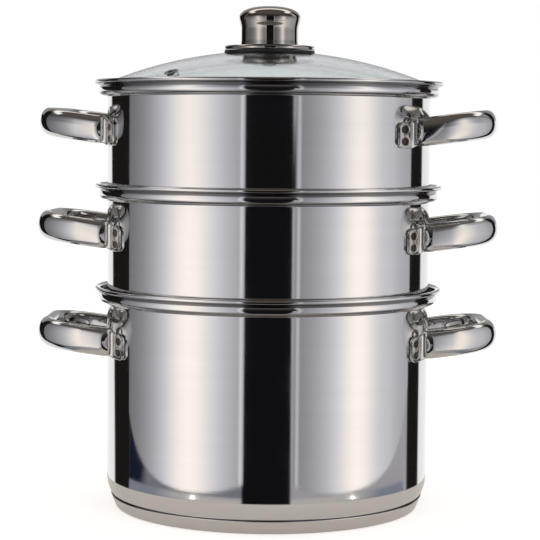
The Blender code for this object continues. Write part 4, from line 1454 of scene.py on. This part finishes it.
    def light(self, studio):
        """White, even light all round, with a dark studio and a bright back that only mirrors show."""
        world = bpy.data.worlds.new("studio")
        bpy.context.scene.world = world
        world.use_nodes = True
        world.cycles.sampling_method = "NONE"
        sheet = NodeTree(world.node_tree)
        x, y, z = sheet.axes(sheet.node("ShaderNodeTexCoord").outputs["Generated"])
        around = x.math("ABSOLUTE").math("ARCTAN2", y * -1.0) * DEGREES
        above = z.math("ARCSINE") * DEGREES
        right = x.rise(-RIGHT_SOFT, RIGHT_SOFT)
        front, back = (sheet.socket("ShaderNodeValToRGB", {"Fac": above / RIGHT_ANGLE}, {"stops": stops})
                       for stops in (FRONT_STOPS, BACK_STOPS))
        tall = above.rise(*FLAG_TALL)
        leaning = above.math("MINIMUM", FLAG_LEAN_TOP) * FLAG_LEAN + FLAG_END_LOW
        leaning = leaning * (1.0 - tall) + tall * FLAG_END
        flag_end = leaning * (1.0 - right) + right * FLAG_END
        flag_start = right * FLAG_START_RIGHT + FLAG_START
        flag = around.rise(flag_start - FLAG_START_SOFT, flag_start + FLAG_START_SOFT)
        opened = around.rise(flag_end - FLAG_END_SOFT, flag_end + FLAG_END_SOFT)
        high = around.rise(*BEHIND_BLEND) * above.rise(*TOP_BLEND)
        level = sheet.blend(around.rise(*FLANK_BLEND), front, sheet.blend(right, LEFT_FLANK, RIGHT_FLANK))
        level = sheet.blend(flag, level, FLAG_COLOUR)
        level = sheet.blend(opened.math("MAXIMUM", high), level, back)
        mirror = sheet.mirrored()
        seen = sheet.ray("Is Camera Ray").math("MAXIMUM", sheet.ray("Is Transmission Ray"))
        plain = seen * (1.0 - studio.fill) + studio.fill
        sheet.fill(world.node_tree.nodes["Background"], {
            "Color": sheet.blend(mirror, WHITE, level),
            "Strength": mirror * studio.backdrop + (1.0 - mirror) * plain})

    def camera(self, studio):
        """Camera at the photograph's place."""
        pitch, yaw, roll = studio.camera_pitch, studio.camera_yaw, studio.camera_roll
        ahead = Vector((math.sin(yaw) * math.cos(pitch), math.cos(yaw) * math.cos(pitch), -math.sin(pitch)))
        right = Vector((math.cos(yaw), -math.sin(yaw), 0.0))
        upward = right.cross(ahead)
        across = right * math.cos(roll) + upward * math.sin(roll)
        overhead = upward * math.cos(roll) - right * math.sin(roll)
        lens = bpy.data.cameras.new("studio_camera")
        lens.lens = studio.camera_lens
        lens.sensor_width = SENSOR_WIDTH
        lens.clip_start = NEAREST
        lens.clip_end = FARTHEST
        camera = bpy.data.objects.new("studio_camera", lens)
        bpy.context.collection.objects.link(camera)
        turned = Matrix((across, overhead, -ahead)).transposed().to_4x4()
        spot = Vector((0.0, -studio.camera_distance, studio.camera_height))
        camera.matrix_world = Matrix.Translation(spot) @ turned
        bpy.context.scene.camera = camera


# Panel and registration


class SteamerPanel(bpy.types.Panel):
    """Sidebar panel with the steps and the settings of the steamer set"""
    bl_idname = "STEAMER_PT_set"
    bl_label = "Steamer set"
    bl_space_type = "VIEW_3D"
    bl_region_type = "UI"
    bl_category = "Steamer"

    def draw(self, context):
        for step in STEPS:
            self.layout.operator(step.bl_idname)
        for group in ("vessel", "base", "holes", "handle", "lid", "knob", "finish", "studio"):
            box = self.layout.box()
            box.label(text=group.capitalize())
            chosen = getattr(context.scene.steamer_set, group)
            for name in chosen.__annotations__:
                box.prop(chosen, name)


STEPS = (MakePot, MakeBase, MakeInserts, MakeHandles, MakeLid, MakeKnob, MakeScrew, MakeStage)
GROUPS = (VesselSizes, BaseSizes, HoleSizes, HandleSizes, LidSizes, KnobSizes, FinishColours,
          StudioSettings, SteamerSettings)
CLASSES = GROUPS + STEPS + (SteamerPanel,)


def register():
    """Register the settings, the steps and the panel."""
    for item in CLASSES:
        bpy.utils.register_class(item)
    bpy.types.Scene.steamer_set = PointerProperty(type=SteamerSettings)


def unregister():
    """Take everything out again."""
    del bpy.types.Scene.steamer_set
    for item in reversed(CLASSES):
        bpy.utils.unregister_class(item)


def main():
    """Make every piece and the stage."""
    register()
    bpy.ops.steamer.make_pot()
    bpy.ops.steamer.make_base()
    bpy.ops.steamer.make_inserts()
    bpy.ops.steamer.make_handles()
    bpy.ops.steamer.make_lid()
    bpy.ops.steamer.make_knob()
    bpy.ops.steamer.make_screw()
    bpy.ops.steamer.make_stage()


if __name__ == "__main__":
    main()
